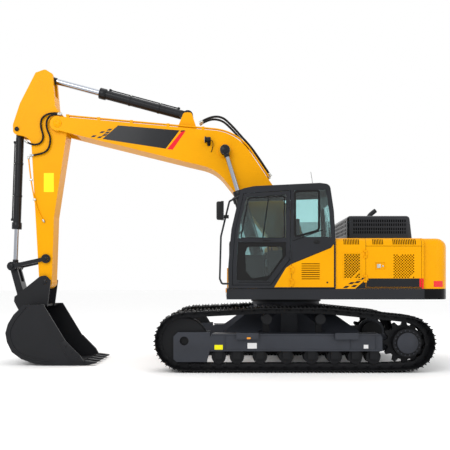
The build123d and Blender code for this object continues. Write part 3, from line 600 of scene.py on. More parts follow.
def lay_on(films: list[tuple[float, float, float, float]], y: float, target: Piece, thick_mm: float,
           steps: int = 8) -> Piece:
    """Press upright films that face along Y onto a curved piece.

    Args:
        films: (lowest x, highest x, lowest z, highest z) of each film.
        y: where the films start, outside the piece.
        target: what they are pressed onto.
        thick_mm: thickness of the films.
        steps: how often each is divided each way.

    Returns:
        The new piece.
    """
    one = add("grid", x_subdivisions=steps, y_subdivisions=steps, size=1, rotation=(math.pi / 2, 0, 0))
    piece = join(copies(one, [
        Matrix.Translation(((x0 + x1) / 2, y, (z0 + z1) / 2)) @ Matrix.Diagonal((x1 - x0, 1, z1 - z0, 1))
        for x0, x1, z0, z1 in films]))
    modify(piece, "SHRINKWRAP", target=target, wrap_method="PROJECT", use_project_y=True,
           use_positive_direction=y < 0, use_negative_direction=y > 0, offset=0.6 * MM)
    return modify(piece, "SOLIDIFY", thickness=thick_mm * MM, offset=0)


def fit(name: str, pieces: Piece | list[Piece], finish: Finish, body: str, *stands_for: str,
        mirrored: bool = False) -> Piece:
    """Join what makes up a piece, finish it and mount it on its body.

    Args:
        name: the piece's name.
        pieces: its parts, in their places.
        finish: what it is coated with.
        body: the body that carries it.
        stands_for: frame nodes that it is shown in place of.
        mirrored: whether its mirror image on the machine's other side belongs to it.

    Returns:
        The finished piece.
    """
    piece = join(pieces) if isinstance(pieces, list) else pieces
    if mirrored:
        piece = join(copies(piece, [Matrix.Scale(-1, 4, (0, 1, 0))], keep=True))
        with editing(piece):
            bpy.ops.mesh.normals_make_consistent(inside=False)
    piece.name = name
    SHOP.coat(piece, finish)
    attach(piece, body)
    if stands_for:
        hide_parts(*stands_for)
    LOG.info("%s on %s", piece.name, body)
    return piece


# ---- tracks
@dataclass
class Track:
    """One crawler track: pressed shoes bolted to pairs of links on pins."""

    side: int                   # 1 is the right track, -1 the left
    name: str
    idler: Point = (-1.75, 0.49, 0.357)         # x, z, radius where the links run
    sprocket: Point = (1.79, 0.46, 0.314)
    roller_radius: float = 0.105
    roller_ends: Pair = (-1.2, 1.27)
    carriers: Path = ((0.43, 0.832, 0.083), (-0.43, 0.832, 0.083))
    middle_y: float = 1.19
    shoe_width: float = 0.6
    shoe_pitch: float = 0.19
    shoe_thick: float = 0.014
    link_height: float = 0.091
    pin_height: float = 0.045   # above the face that runs on the rollers
    grouser_height: float = 0.026
    grousers: int = 3
    rails: Pair = (0.047, 0.098)
    rail_hollow: float = 0.008  # links are hollowed under their middle

    def wheels(self) -> list[tuple[complex, float]]:
        """Centre and pin radius of the wheels that the links run round, x and z as one number each."""
        ground = self.grouser_height + self.shoe_thick + self.link_height + self.roller_radius
        low = [(x, ground, self.roller_radius) for x in self.roller_ends]
        return [(complex(x, z), radius + self.pin_height)
                for x, z, radius in (self.idler, *low, self.sprocket, *self.carriers)]

    def pins(self) -> list[complex]:
        """Centres of the link pins, a pitch apart round the whole loop."""
        wheels, outs, spans, found = self.wheels(), [], [], []
        pairs = list(zip(wheels, wheels[1:] + wheels[:1]))
        for (near, r0), (far, r1) in pairs:
            lean = (r0 - r1) / abs(far - near)
            outs.append((far - near) / abs(far - near) * complex(lean, -math.sqrt(1 - lean * lean)))
        for into, out, ((near, r0), (far, r1)) in zip(outs[-1:] + outs, outs, pairs):
            start = cmath.phase(into)
            turn = (cmath.phase(out) - start) % (2 * math.pi)
            spans.append((r0 * turn, lambda t, c=near, r=r0, a=start, w=turn: c + cmath.rect(r, a + w * t)))
            leave, reach = near + r0 * out, far + r1 * out
            spans.append((abs(reach - leave), lambda t, a=leave, b=reach: a + (b - a) * t))
        whole = sum(length for length, _ in spans)
        count = round(whole / self.shoe_pitch)
        for index in range(count):
            left = index * whole / count
            for length, place in spans:
                if left <= length:
                    break
                left -= length
            found.append(place(left / length))
        return found

    def shoe(self) -> Piece:
        """Press one shoe: a plate whose grousers are drawn out of its outer face, its bolts and its lips."""
        base = self.link_height - self.pin_height
        half, wide, top = self.shoe_pitch / 2 - 0.004, self.shoe_width / 2, base + self.shoe_thick
        shoe = add("cube", size=1, location=(0, 0, base + self.shoe_thick / 2),
                   scale=(2 * half, 2 * wide, self.shoe_thick))
        bars = [(index + 0.5) / self.grousers * 2 * half - half for index in range(self.grousers)]
        with editing(shoe):
            for bar in bars:
                for edge in (bar - 0.008, bar + 0.008):
                    bisect((edge, 0, 0), (1, 0, 0))
        for bar in bars:
            with editing(shoe, "FACE", lambda f: abs(f.center.x - bar) < 0.004 and f.center.z > top - 0.001):
                draw_out((0, 0, self.grouser_height))
                bpy.ops.transform.resize(value=(0.5, 1, 1), center_override=(bar, 0, top))
        round_edges(shoe, 2, 1, 30)
        bolts = [rod((x, y, top - 0.001), (x, y, top + 0.012), 0.015, 6, 1)
                 for x in (-half / 3, half / 3) for y in (-0.073, 0.073)]
        return join([shoe, *bolts, block((half - 0.03, -wide, base - 0.007), (half, wide, base + 0.002)),
                     block((half - 0.001, -wide, base - 0.007), (half + 0.034, wide, base - 0.0005))])

    def link(self) -> Piece:
        """Forge one pair of links, with a boss at each pin, the pin's ends and its bushing."""
        pieces, back, (near, far) = [], -self.shoe_pitch / 2, self.rails
        for out in (-1, 1):
            bar = block((back, out * near, self.rail_hollow - self.pin_height),
                        (-back, out * far, self.link_height - self.pin_height - 0.001), 4)
            with editing(bar):
                for edge in (-0.05, -0.022, 0.022, 0.05):
                    bisect((edge, 0, 0), (1, 0, 0))
            with editing(bar, "FACE", lambda face: abs(face.normal.y) > 0.9 and abs(face.center.x) < 0.02):
                bpy.ops.transform.resize(value=(1, 0.62, 1), center_override=(0, out * 0.0725, 0))
            ends = sorted((out * near, out * far))
            pieces += [bar, pin(back, 0, ends[0] - 0.002, ends[1] + 0.002, 0.036, 14, 2),
                       pin(back, 0, out * far, out * (far + 0.012), 0.022, 10, 2)]
        return join([*pieces, pin(back, 0, -near, near, 0.03, 12, 1)])

    def build(self) -> None:
        """Lay a shoe and its links between each two pins and show them in place of the plain loop."""
        pins, places = self.pins(), []
        for back, ahead in zip(pins, pins[1:] + pins[:1]):
            along = Vector(((ahead - back).real, 0, (ahead - back).imag)).normalized()
            turn = Matrix((-along, Vector((0, 1, 0)), Vector((along.z, 0, -along.x)))).transposed().to_4x4()
            middle = (back + ahead) / 2
            places.append(Matrix.Translation((middle.real, self.side * self.middle_y, middle.imag)) @ turn)
        pads, chain = copies(self.shoe(), places), copies(self.link(), places)
        fit(f"track_shoes_{self.name}", pads, TRACK, "undercarriage", f"track_{self.name}")
        fit(f"track_links_{self.name}", chain, CASTING, "undercarriage")


# ---- stripes and labels
@dataclass
class Stripes:
    """Plain film bands and blank labels, the same on both sides of the machine."""

    boom_wall: float = 0.2502
    house_wall: float = 1.3802
    frame_wall: float = 1.3602
    thick: float = 0.0008
    slant: float = 0.62             # sideways lean of the stripes for each metre up
    boom_band: Outline = ((-2.993, 4.206), (-1.905, 4.118), (-2.151, 3.794), (-3.27, 3.966))
    boom_slash: Outline = ((-1.877, 4.092), (-1.798, 4.108), (-2.026, 3.777), (-2.125, 3.785))
    boom_cap: Outline = ((-1.882, 4.117), (-1.803, 4.121), (-1.823, 4.104), (-1.894, 4.09))
    boom_chips: Outline = ((-3.143, 4.13), (-3.185, 4.079), (-3.275, 4.086), (-3.23, 4.036),
                                    (-3.318, 3.997), (-3.425, 4.014))
    chip: Pair = (0.066, 0.034)
    house_chips: Outline = ((1.062, 1.477), (1.001, 1.426), (0.905, 1.409), (0.948, 1.363),
                                     (0.822, 1.349))
    band_z: Pair = (1.3215, 1.484)
    door_sill: float = 1.3475

    def film(self, outline: Outline, wall: float) -> Piece:
        """Cut a piece of film for a wall, whose sign says which side it is on."""
        return plate(outline, wall, math.copysign(self.thick, wall))

    def chips(self, centres: Outline, wall: float) -> Piece:
        """Cut one small leaning block of film and set it at each centre."""
        wide, high = self.chip[0] / 2, self.chip[1] / 2
        lean = high / self.slant * 0.8
        outline = ((-wide - lean, -high), (wide - lean, -high), (wide + lean, high), (lean - wide, high))
        return row(self.film(outline, wall), [(x, 0, z) for x, z in centres])

    def on_boom(self) -> None:
        """Dress the boom's side walls."""
        wall = -self.boom_wall
        black = [self.film(outline, wall) for outline in (self.boom_band, self.boom_cap)]
        fit("boom_bands", [*black, self.chips(self.boom_chips, wall)], BLACK_FILM, "boom", mirrored=True)
        fit("boom_slash", self.film(self.boom_slash, wall), RED_FILM, "boom", mirrored=True)

    def on_house(self) -> None:
        """Dress the side panels and the bay doors, each with its own part of the band."""
        (low, high), wall, sill = self.band_z, -self.house_wall, self.door_sill
        bands = [self.film(((0.963, low), (1.1275, low), (1.1275, high - 0.022)), wall),
                 self.film(rect(1.1275, 2.0185, low, 1.3385), wall), self.chips(self.house_chips, wall)]
        fit("side_bands", bands, BLACK_FILM, "house", mirrored=True)
        fit("side_block", self.film(rect(2.0215, 2.0485, low, high), wall), RED_FILM, "house", mirrored=True)
        band = ((1.1365, sill), (1.982, sill), (1.982, high), (1.14, high))
        for body, side in BAYS:
            for kind, outline, finish in (("band", band, BLACK_FILM),
                                          ("block", rect(1.983, 2.0125, sill, high), RED_FILM)):
                fit(f"{body}_{kind}", self.film(outline, side * self.house_wall), finish, body)

    def labels(self) -> None:
        """Stick the blank labels and the reflector where such a machine wears them."""
        side = -self.frame_wall
        fit("arm_label", self.film(rect(-4.332, -4.154, 3.039, 3.377), -0.1722), LABEL_YELLOW, "arm")
        fit("frame_label", self.film(rect(-1.267, -1.135, 0.349, 0.428), side), LABEL_YELLOW, "undercarriage")
        fit("step_reflector", block((-0.755, -1.4225, 0.526), (-0.696, -1.4202, 0.553), 0.6), AMBER_LENS,
            "undercarriage")
        white = [self.film(rect(*spot), side)
                 for spot in ((-0.743, -0.595, 0.37, 0.459), (1.103, 1.176, 0.37, 0.43))]
        fit("frame_labels_white", white, LABEL_WHITE, "undercarriage")

    def build(self) -> None:
        """Lay every band and label."""
        self.on_boom()
        self.on_house()
        self.labels()


# ---- cab
@dataclass
class CabTrim:
    """What the cab's shell wears: window seals, bars, handles, aerial and mirror glass."""

    left: float = -1.4
    pane: float = -1.386            # outer face of the panes
    side_window: Outline = ((-0.008, 2.114), (-0.008, 2.883), (0.406, 2.893), (0.406, 2.236))
    upper: Outline = ((-0.86, 2.114), (-0.735, 2.764), (-0.15, 2.798), (-0.15, 2.114))
    lower: Outline = ((-0.913, 1.452), (-0.913, 1.7), (-0.891, 2.058), (-0.134, 2.058),
                               (-0.134, 1.849), (-0.426, 1.452))
    clear: Outline = ((-0.781, 1.888), (-0.743, 1.988), (-0.188, 1.988), (-0.186, 1.828),
                               (-0.402, 1.528), (-0.667, 1.478), (-0.768, 1.59))

    def seals(self) -> None:
        """Black rubber glazing seals, wide printed borders on the lower pane and the side window."""
        y = self.pane
        fit("side_window_seal", bordered(self.side_window, y, -0.006, 0.034, 55), RUBBER, "house")
        upper = bordered(self.upper, y, -0.006, 0.018, 45)
        lower = cut(plate(self.lower, y, -0.003), plate(self.clear, y + 0.02, -0.05, 25))
        bar = rod((-0.503, y - 0.005, 2.118), (-0.408, y - 0.005, 2.772), 0.009, 12)
        fit("door_seals", [upper, lower, bar], RUBBER, "cab_door")

    def handles(self) -> None:
        """Door paddle and moulding, the rear latch in its cup and the moulding under the window."""
        y = self.left
        paddle = block((-0.492, y - 0.006, 2.076), (-0.39, y + 0.004, 2.094))
        pivot = rod((-0.486, y - 0.003, 2.07), (-0.486, y - 0.003, 2.1), 0.006, 10)
        rail = rod((-0.88, y - 0.001, 1.425), (-0.38, y - 0.001, 1.425), 0.006)
        fit("door_handle", [paddle, pivot, rail], PLASTIC, "cab_door")
        trim = rod((-0.026, y - 0.001, 2.078), (0.452, y - 0.001, 2.256), 0.007)
        cup = pin(0.351, 2.06, y + 0.001, y - 0.008, 0.03, 24)
        with editing(cup):
            bpy.ops.transform.resize(value=(1.7, 1, 1), center_override=(0.351, y, 2.06))
        knob = pin(0.351, 2.06, y - 0.006, y - 0.014, 0.016)
        fit("cab_latch", [trim, cup, knob], PLASTIC, "house")

    def aerial(self) -> None:
        """Aerial on its rubber foot."""
        foot = rod((0.35, -1, 2.985), (0.345, -1, 3.03), 0.017, 16, 4)
        whip = hose(((0.345, -1, 3.02), (0.335, -1, 3.12), (0.313, -1, 3.242)), 0.0035)
        fit("aerial", [foot, whip], RUBBER, "house")

    def mirrors(self) -> None:
        """Deep moulded housing over the mirror's plate and silvered glass in its rear face."""
        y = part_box("mirror_left")[0].y
        glass = block((-1.121, y + 0.012, 2.415), (-1.1175, y + 0.108, 2.675), 1.5)
        fit("mirror_glass_left", glass, MIRROR, "house")
        housing = block((-1.235, y + 0.002, 2.402), (-1.1215, y + 0.118, 2.688), 26)
        fit("mirror_housing", housing, PLASTIC, "house")

    def build(self) -> None:
        """Dress the cab."""
        for step in (self.seals, self.handles, self.aerial, self.mirrors):
            step()


# ---- house
@dataclass
class HouseTrim:
    """Vented doors, hood and counterweight of the upper structure, with their latches, lamps and seams."""

    wall: float = 1.38
    seam: float = 1.129             # where the bay's fixed panel ends and its door starts
    door_end: float = 2.02
    gap: float = 0.006
    door_z: Pair = (1.34, 2)
    hole: float = 0.021             # side of a vent's diamond hole
    pitch: float = 0.044
    corner: float = 0.12            # plain stripe across two corners of a vent
    vent_z: Pair = (1.48, 1.885)
    slit_z: Pair = (2.022, 2.108)
    slit_groups: Path = ((0.782, 1.036, 10), (1.24, 1.418, 7), (1.559, 1.939, 14))  # first x, last x, count
    hood_rows: tuple[float, ...] = (2.23, 2.286, 2.357, 2.42)
    hood_slots: tuple[float, float, int] = (1.027, 1.908, 24)

    def holes(self, x0: float, x1: float, y: float) -> Piece:
        """Cutter of a vent's staggered diamond holes, with a plain stripe across two corners."""
        low, high = self.vent_z
        half = self.hole / 2
        one = block((-half, y - 0.04, -half), (half, y + 0.04, half))
        with editing(one):
            bpy.ops.transform.rotate(value=math.radians(45), orient_axis="Y", center_override=(0, 0, 0))
        steps = []
        for line in range(int((high - low) / self.pitch) * 2 - 1):
            for column in range(int((x1 - x0) / self.pitch) - line % 2):
                x = x0 + self.pitch * (column + 0.5 + 0.5 * (line % 2))
                z = low + self.pitch * (line + 1) / 2
                if min(abs(x - x0 + high - z - self.corner), abs(x1 - x + z - low - self.corner)) > self.hole:
                    steps.append((x, 0, z))
        return row(one, steps)

    def bay_doors(self) -> None:
        """Doors of the bays: pressed sheet with vent, recessed latch and hinge knuckles."""
        x0, x1 = self.seam + self.gap, self.door_end - self.gap
        low, high = self.door_z[0] + self.gap, self.door_z[1] - self.gap
        for body, side in BAYS:
            wall, back, out = side * self.wall, side * (self.wall - 0.022), side * (self.wall + 0.014)
            door = cut(block((x0, wall, low), (x1, back, high), 2), self.holes(x0 + 0.425, x0 + 0.805, wall))
            cut(door, block((x0 + 0.145, wall - 0.014, 1.622), (x0 + 0.305, wall + 0.014, 1.738), 9))
            parts = [door]
            for z in (1.48, 1.87):
                parts += [rod((x0, out, z - 0.029), (x0, out, z + 0.029), 0.012),
                          block((x0, side * (self.wall - 0.001), z - 0.028),
                                (x0 + 0.034, side * (self.wall + 0.006), z + 0.028), 1)]
            skin = join(parts)
            bpy.ops.object.shade_flat()
            fit(f"{body}_skin", skin, YELLOW, body, body)
            gauze = block((x0 + 0.42, back - side * 0.001, self.vent_z[0] - 0.01),
                          (x0 + 0.81, back - side * 0.004, self.vent_z[1] + 0.01), 0.8)
            fit("gauze", gauze, GAUZE_AND_PAINTED_SHADE, body)
            near, far = sorted((side * (self.wall - 0.015), side * (self.wall - 0.004)))
            fit(f"{body}_latch", [block((x0 + 0.175, near, 1.65), (x0 + 0.235, far, 1.712)),
                                  pin(x0 + 0.27, 1.68, near, far, 0.014, 16)], ZINC, body)

    def panel_vents(self) -> None:
        """Perforated plates over black gauze on the fixed panels, and black films pressed onto the shoulders
        as painted shade in each slit.
        """
        x0, x1, y = 0.782, 1.052, -self.wall
        low, high = self.vent_z
        grille = block((x0 - 0.012, y - 0.0032, low - 0.012), (x1 + 0.012, y - 0.0012, high + 0.012), 0.9)
        fit("grille", cut(grille, self.holes(x0, x1, y)), YELLOW, "house", mirrored=True)
        gauze = block((x0 - 0.01, y - 0.0012, low - 0.01), (x1 + 0.01, y - 0.0002, high + 0.01), 0.3)
        fit("gauze_backing", gauze, GAUZE_AND_PAINTED_SHADE, "house", mirrored=True)
        # Black films at each slit of the shoulders: painted shade, not openings.
        films = []
        for start, end, count in self.slit_groups:
            step = (end - start) / count
            films += [(start + step * k, start + step * (k + 0.5), *self.slit_z) for k in range(count)]
        slit_shade_films = [lay_on(films, side * 1.45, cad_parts[f"side_panel_{mark}"], 0.8, 6)
                 for side, mark in SIDES]
        fit("shoulder_slit_painted_shade", slit_shade_films, GAUZE_AND_PAINTED_SHADE, "house")

    def hood(self) -> None:
        """Slotted hood over the engine with its liner, and the bent exhaust tail."""
        shell = plate(((0.93, 2.1305), (0.93, 2.53), (1.965, 2.53), (2.01, 2.1305)), 0.95, -1.9)
        corners = shell.data.vertices
        with editing(shell, "EDGE", lambda edge: sum(corners[index].co.z for index in edge.vertices) > 4.4):
            bpy.ops.mesh.bevel(offset=0.055, segments=5, affect="EDGES")
        cut(shell, plate(((0.95, 2.1), (0.95, 2.508), (1.945, 2.508), (1.99, 2.1)), 0.93, -1.86, 40))
        x0, x1, count = self.hood_slots
        step = (x1 - x0) / count
        cut(shell, row(block((0, -1, 0), (step * 0.5, 1, 0.042)),
                       [(x0 + step * index, 0, z) for z in self.hood_rows for index in range(count)]))
        cut(shell, row(block((0.9, 0, 0), (0.99, 0.06, 0.042)),
                       [(0, -0.8 + 0.12 * index, z) for z in self.hood_rows for index in range(14)]))
        hinges = [pin(2.026, 2.1425, y - 0.029, y + 0.029, 0.012) for y in (-0.6, 0.6)]
        hinges += [block((1.995, y - 0.028, 2.137), (2.02, y + 0.028, 2.148), 1) for y in (-0.6, 0.6)]
        fit("hood_skin", smooth(join([shell, *hinges]), 35), CHARCOAL, "engine_hood", "engine_hood")
        liner = block((0.985, -0.915, 2.145), (1.925, 0.915, 2.485), 30)
        fit("hood_liner", liner, GAUZE_AND_PAINTED_SHADE, "engine_hood")
        bend = ((1.56, 2.531), (1.56, 2.62), (1.58, 2.68), (1.69, 2.76))
        tail = hose(tuple((x, 0.25, z) for x, z in bend), 0.042, 6, 6)
        foot = rod((1.56, 0.25, 2.5305), (1.56, 0.25, 2.546), 0.077, 28, 3)
        fit("exhaust_pipe", [tail, foot], CHARCOAL, "engine_hood", "exhaust_tail")

    def weight(self) -> None:
        """Cast counterweight with well rounded corners, and its reflectors."""
        casting = add("cylinder", vertices=96, radius=2.7297, depth=0.98, location=(0, 0, 1.64))
        with editing(casting):
            for place, out in (((2.062, 0, 0), (-1, 0, 0)), ((0, -1.33, 0), (0, -1, 0)),
                               ((0, 1.33, 0), (0, 1, 0))):
                bisect(place, out, clear_outer=True, use_fill=True)
        corners = casting.data.vertices

        def outer(edge: bpy.types.MeshEdge) -> bool:
            """Whether an edge is one of the rear corners or of the top's rim."""
            a, b = (corners[index].co for index in edge.vertices)
            upright = abs(a.z - b.z) > 0.5 and abs(a.y) > 1.32
            return min(a.x, b.x) > 2.07 and upright or max(a.x, b.x) > 2.07 and min(a.z, b.z) > 2.12

        with editing(casting, "EDGE", outer):
            bpy.ops.mesh.bevel(offset=0.13, segments=8, affect="EDGES", clamp_overlap=False)
        fit("counterweight_casting", smooth(casting, 35), WEIGHT, "house", "counterweight")
        reflectors = [lay_on([(2.226, 2.385, 1.348, 1.444)], y, casting, 2) for y in (-1.45, 1.45)]
        fit("weight_reflectors", reflectors, RED_LENS, "house")

    def lock(self) -> None:
        """Lock barrel of the small door behind the cab door, and dark strips on it as painted shade in its
        louvre gaps.
        """
        barrel = pin(0.518, 1.42, -1.3995, -1.405, 0.014)
        fit("panel_lock", barrel, PLASTIC, "access_door")
        # Dark strips laid on the door's face: painted shade where the louvre gaps fall in shadow.
        slot = block((0.112, -1.3925, 1.472), (0.398, -1.3905, 1.482), 0.4)
        fit("louvre_painted_shade", row(slot, [(0, 0, 0.034 * k) for k in range(8)]), GAUZE_AND_PAINTED_SHADE, "access_door")

    def seams(self) -> None:
        """Joints between the pressed shoulder panels, drawn up from the doors."""
        r, y, z = 0.11, -self.wall - 0.0005, 2.1305
        arc = [(y + r * (1 - math.cos(a)), z - r * (1 - math.sin(a))) for a in (0, 0.3, 0.7, 1.1, 1.571)]
        lines = [hose(((x, y, 1.99), *[(x, *spot) for spot in arc], (x, -1.12, z)), 0.0028, 6, 1)
                 for x in (1.132, 2.017)]
        fit("shoulder_seams", lines, RUBBER, "house", mirrored=True)

    def lamps(self) -> None:
        """Marker lamp at each front corner of the deck."""
        for name, finish, low, high in (("marker_amber", AMBER_LENS, 1.262, 1.312),
                                        ("marker_clear", CLEAR_LENS, 1.212, 1.26)):
            fit(name, block((-1.09, -1.37, low), (-1.066, -1.31, high), 4), finish, "house", mirrored=True)

    def bolts(self) -> None:
        """Ring of bolts on the slewing bearing and rows of bolts along the deck."""
        head = rod((0.575, 0, 1.088), (0.575, 0, 1.104), 0.012, 6, 1)
        turns = [Matrix.Rotation(math.radians(10 * index), 4, "Z") for index in range(36)]
        fit("bearing_bolts", copies(head, turns), ZINC, "undercarriage")
        deck = [rod((x, y, 2.129), (x, y, 2.137), 0.011, 6, 1)
                for x in (0.7, 0.86, 1.15, 1.5, 1.85) for y in (-0.972, 0.972)]
        fit("deck_bolts", deck, ZINC, "house")

    def build(self) -> None:
        """Dress the upper structure."""
        for step in (self.bay_doors, self.panel_vents, self.hood, self.weight, self.lock, self.seams,
                     self.lamps, self.bolts):
            step()


# ---- hoses
@dataclass
class Hose:
    """One hydraulic hose or line between two fittings."""

    name: str
    body: str
    points: Path
    radius: float
    end_body: str = ""              # the second body, where it crosses a joint
    bend: tuple[int, int] = (0, 0)  # two of its points, by number
    fitting_mm: float = 70.0

    def fitting(self, start: Point, towards: Point, body: str, name: str) -> None:
        """Crimp a plated ferrule with a hexagon nut onto one end."""
        run = (Vector(towards) - Vector(start)).normalized() * self.fitting_mm * MM
        nut = Vector(start) + run * 0.35
        ferrule = rod(nut, Vector(start) + run, self.radius * 1.25, 16, 2)
        fit(name, [ferrule, rod(start, nut, self.radius * 1.45, 6, 2)], ZINC, body)

    def build(self) -> None:
        """Lay the hose and crimp both ends."""
        laid = hose(self.points, self.radius)
        laid.name = self.name
        if self.end_body:
            SHOP.coat(laid, RUBBER)
            self.body
            self.end_body
            [self.points[index] for index in self.bend]
            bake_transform(laid)
        else:
            fit(self.name, laid, RUBBER, self.body)
        self.fitting(self.points[0], self.points[1], self.body, f"{self.name}_fitting_a")
        self.fitting(self.points[-1], self.points[-2], self.end_body or self.body, f"{self.name}_fitting_b")


@dataclass
class Hydraulics:
    """Every hose that shows, from the deck up to the stick."""

    arm_side: float = 0.205         # how far out the hoses stand beside the stick

    def over_the_stick(self) -> None:
        """S-shaped hoses from the boom's lines to the stick, past the boom's tip pin."""
        y = self.arm_side
        first = ((-4.00, 0.211, 4.42), (-4.17, 0.215, 4.45), (-4.36, y, 4.37), (-4.385, y, 4.2),
                 (-4.32, y, 4.02), (-4.38, y, 3.885), (-4.56, y, 3.87), (-4.66, y, 3.95))
        second = ((-4.00, 0.243, 4.4), (-4.13, 0.235, 4.42), (-4.26, 0.23, 4.34), (-4.275, 0.225, 4.17),
                  (-4.19, 0.215, 3.99), (-4.24, y, 3.77), (-4.4, y, 3.7), (-4.57, y, 3.68))
        for side, mark in SIDES:
            for letter, points in (("a", first), ("b", second)):
                placed = tuple((x, side * out, z) for x, out, z in points)
                Hose(f"stick_hose_{letter}_{mark}", "boom", placed, 0.0165, "arm", (1, 5)).build()

    def over_the_bend(self) -> None:
        """Hoses from the arm cylinder and the side lines over the boom's bend."""
        top = ((-1.56, -0.055, 4.3), (-1.4, -0.075, 4.4), (-1.16, -0.1, 4.41), (-0.98, -0.12, 4.24),
               (-0.8, -0.14, 4.03), (-0.62, -0.15, 3.83), (-0.43, -0.15, 3.55), (-0.28, -0.15, 3.32))
        for shift, name in ((0, "bend_hose_a"), (0.24, "bend_hose_b")):
            points = tuple((x, y + shift * (0.5 if k < 2 else 1), z) for k, (x, y, z) in enumerate(top))
            Hose(name, "boom", points, 0.02).build()

    def from_the_deck(self) -> None:
        """Hoses that leave the deck beside the boom's foot and cross its pivot."""
        path = ((0.52, 1.42), (0.5, 1.72), (0.44, 2.02), (0.3, 2.24), (0.2, 2.48), (0.085, 2.7),
                (-0.02, 2.84))
        for index in range(4):
            points = tuple((x, (index - 1.5) * 0.085, z) for x, z in path)
            Hose(f"foot_hose_{index + 1}", "house", points, 0.019, "boom", (1, 4)).build()

    def build(self) -> None:
        """Lay every hose."""
        self.over_the_stick()
        self.over_the_bend()
        self.from_the_deck()


# ---- cylinders
@dataclass
class Cylinder:
    """What a plain cylinder wears: gland collar, ports, steel line, clamp bands and a painted rod eye."""

    barrel_body: str
    rod_body: str
    base: Pair
    eye: Pair
    gland: float                    # from the base pin to the barrel's open end
    radius: float
    rod_radius: float
    eye_radius: float
    eye_half: float
    rows: tuple[float, ...] = (0,)

    def bar(self, y: float, start: Pair, end: Pair, radius: float, sides: int,
            round_mm: float = 3.0) -> Piece:
        """Make a round bar between two places on a cylinder.

        Args:
            y: the cylinder's place across the machine.
            start: how far one end is from the base pin, and out from the axis.
            end: the same of the other end.
            radius: the bar's radius in metres.
            sides: how many flats go round it.
            round_mm: radius of the end edges.

        Returns:
            The new piece.
        """
        (x0, z0), (x1, z1) = self.base, self.eye
        length = math.hypot(x1 - x0, z1 - z0)
        ux, uz = (x1 - x0) / length, (z1 - z0) / length
        ends = [(x0 + ux * along + uz * out, y, z0 + uz * along - ux * out) for along, out in (start, end)]
        return rod(*ends, radius, sides, round_mm)

    def build(self) -> None:
        """Dress the barrels and the rod ends."""
        neck = math.hypot(self.eye[0] - self.base[0], self.eye[1] - self.base[1]) - self.eye_radius
        side, gland, (x, z) = self.radius + 0.018, self.gland, self.eye
        ends = (0.2, gland - 0.17)
        painted, plated, eyes = [], [], []
        for y in self.rows:
            painted.append(self.bar(y, (gland - 0.118, 0), (gland + 0.001, 0), self.radius + 0.017, 36))
            for middle in (gland * 0.33, gland * 0.66):
                band = (middle - 0.02, 0), (middle + 0.02, 0)
                painted.append(self.bar(y, *band, self.radius + 0.006, 36, 2))
                plated.append(self.bar(y, (middle, self.radius), (middle, side + 0.016), 0.014, 6, 1))
            painted += [self.bar(y, (end, 0), (end, side + 0.018), 0.024, 16) for end in ends]
            painted.append(self.bar(y, (ends[0], side), (ends[1], side), 0.011, 12, 1.5))
            half = self.eye_half + 0.0006
            eyes += [self.bar(y, (neck - 0.045, 0), (neck + 0.03, 0), self.rod_radius + 0.01, 28),
                     pin(x, z, y - half, y + half, self.eye_radius + 0.0015, 40, 3)]
        fit(f"{self.barrel_body}_dress", painted, GEAR, self.barrel_body)
        fit(f"{self.barrel_body}_clips", plated, ZINC, self.barrel_body)
        fit(f"{self.rod_body}_eye", eyes, GEAR, self.rod_body)


CYLINDERS = (
    Cylinder("boom_barrels", "boom_rods", (-0.375, 1.425), (-1.1, 3.75), 1.68, 0.078, 0.038, 0.085, 0.054,
             (-0.345, 0.345)),
    Cylinder("arm_barrel", "arm_rod", (-1.77, 4.43), (-4.28, 5.1), 1.65, 0.082, 0.052, 0.095, 0.088),
    Cylinder("bucket_barrel", "bucket_rod", (-4.81, 4.16), (-4.898, 1.715), 1.77, 0.07, 0.04, 0.08, 0.05),
)


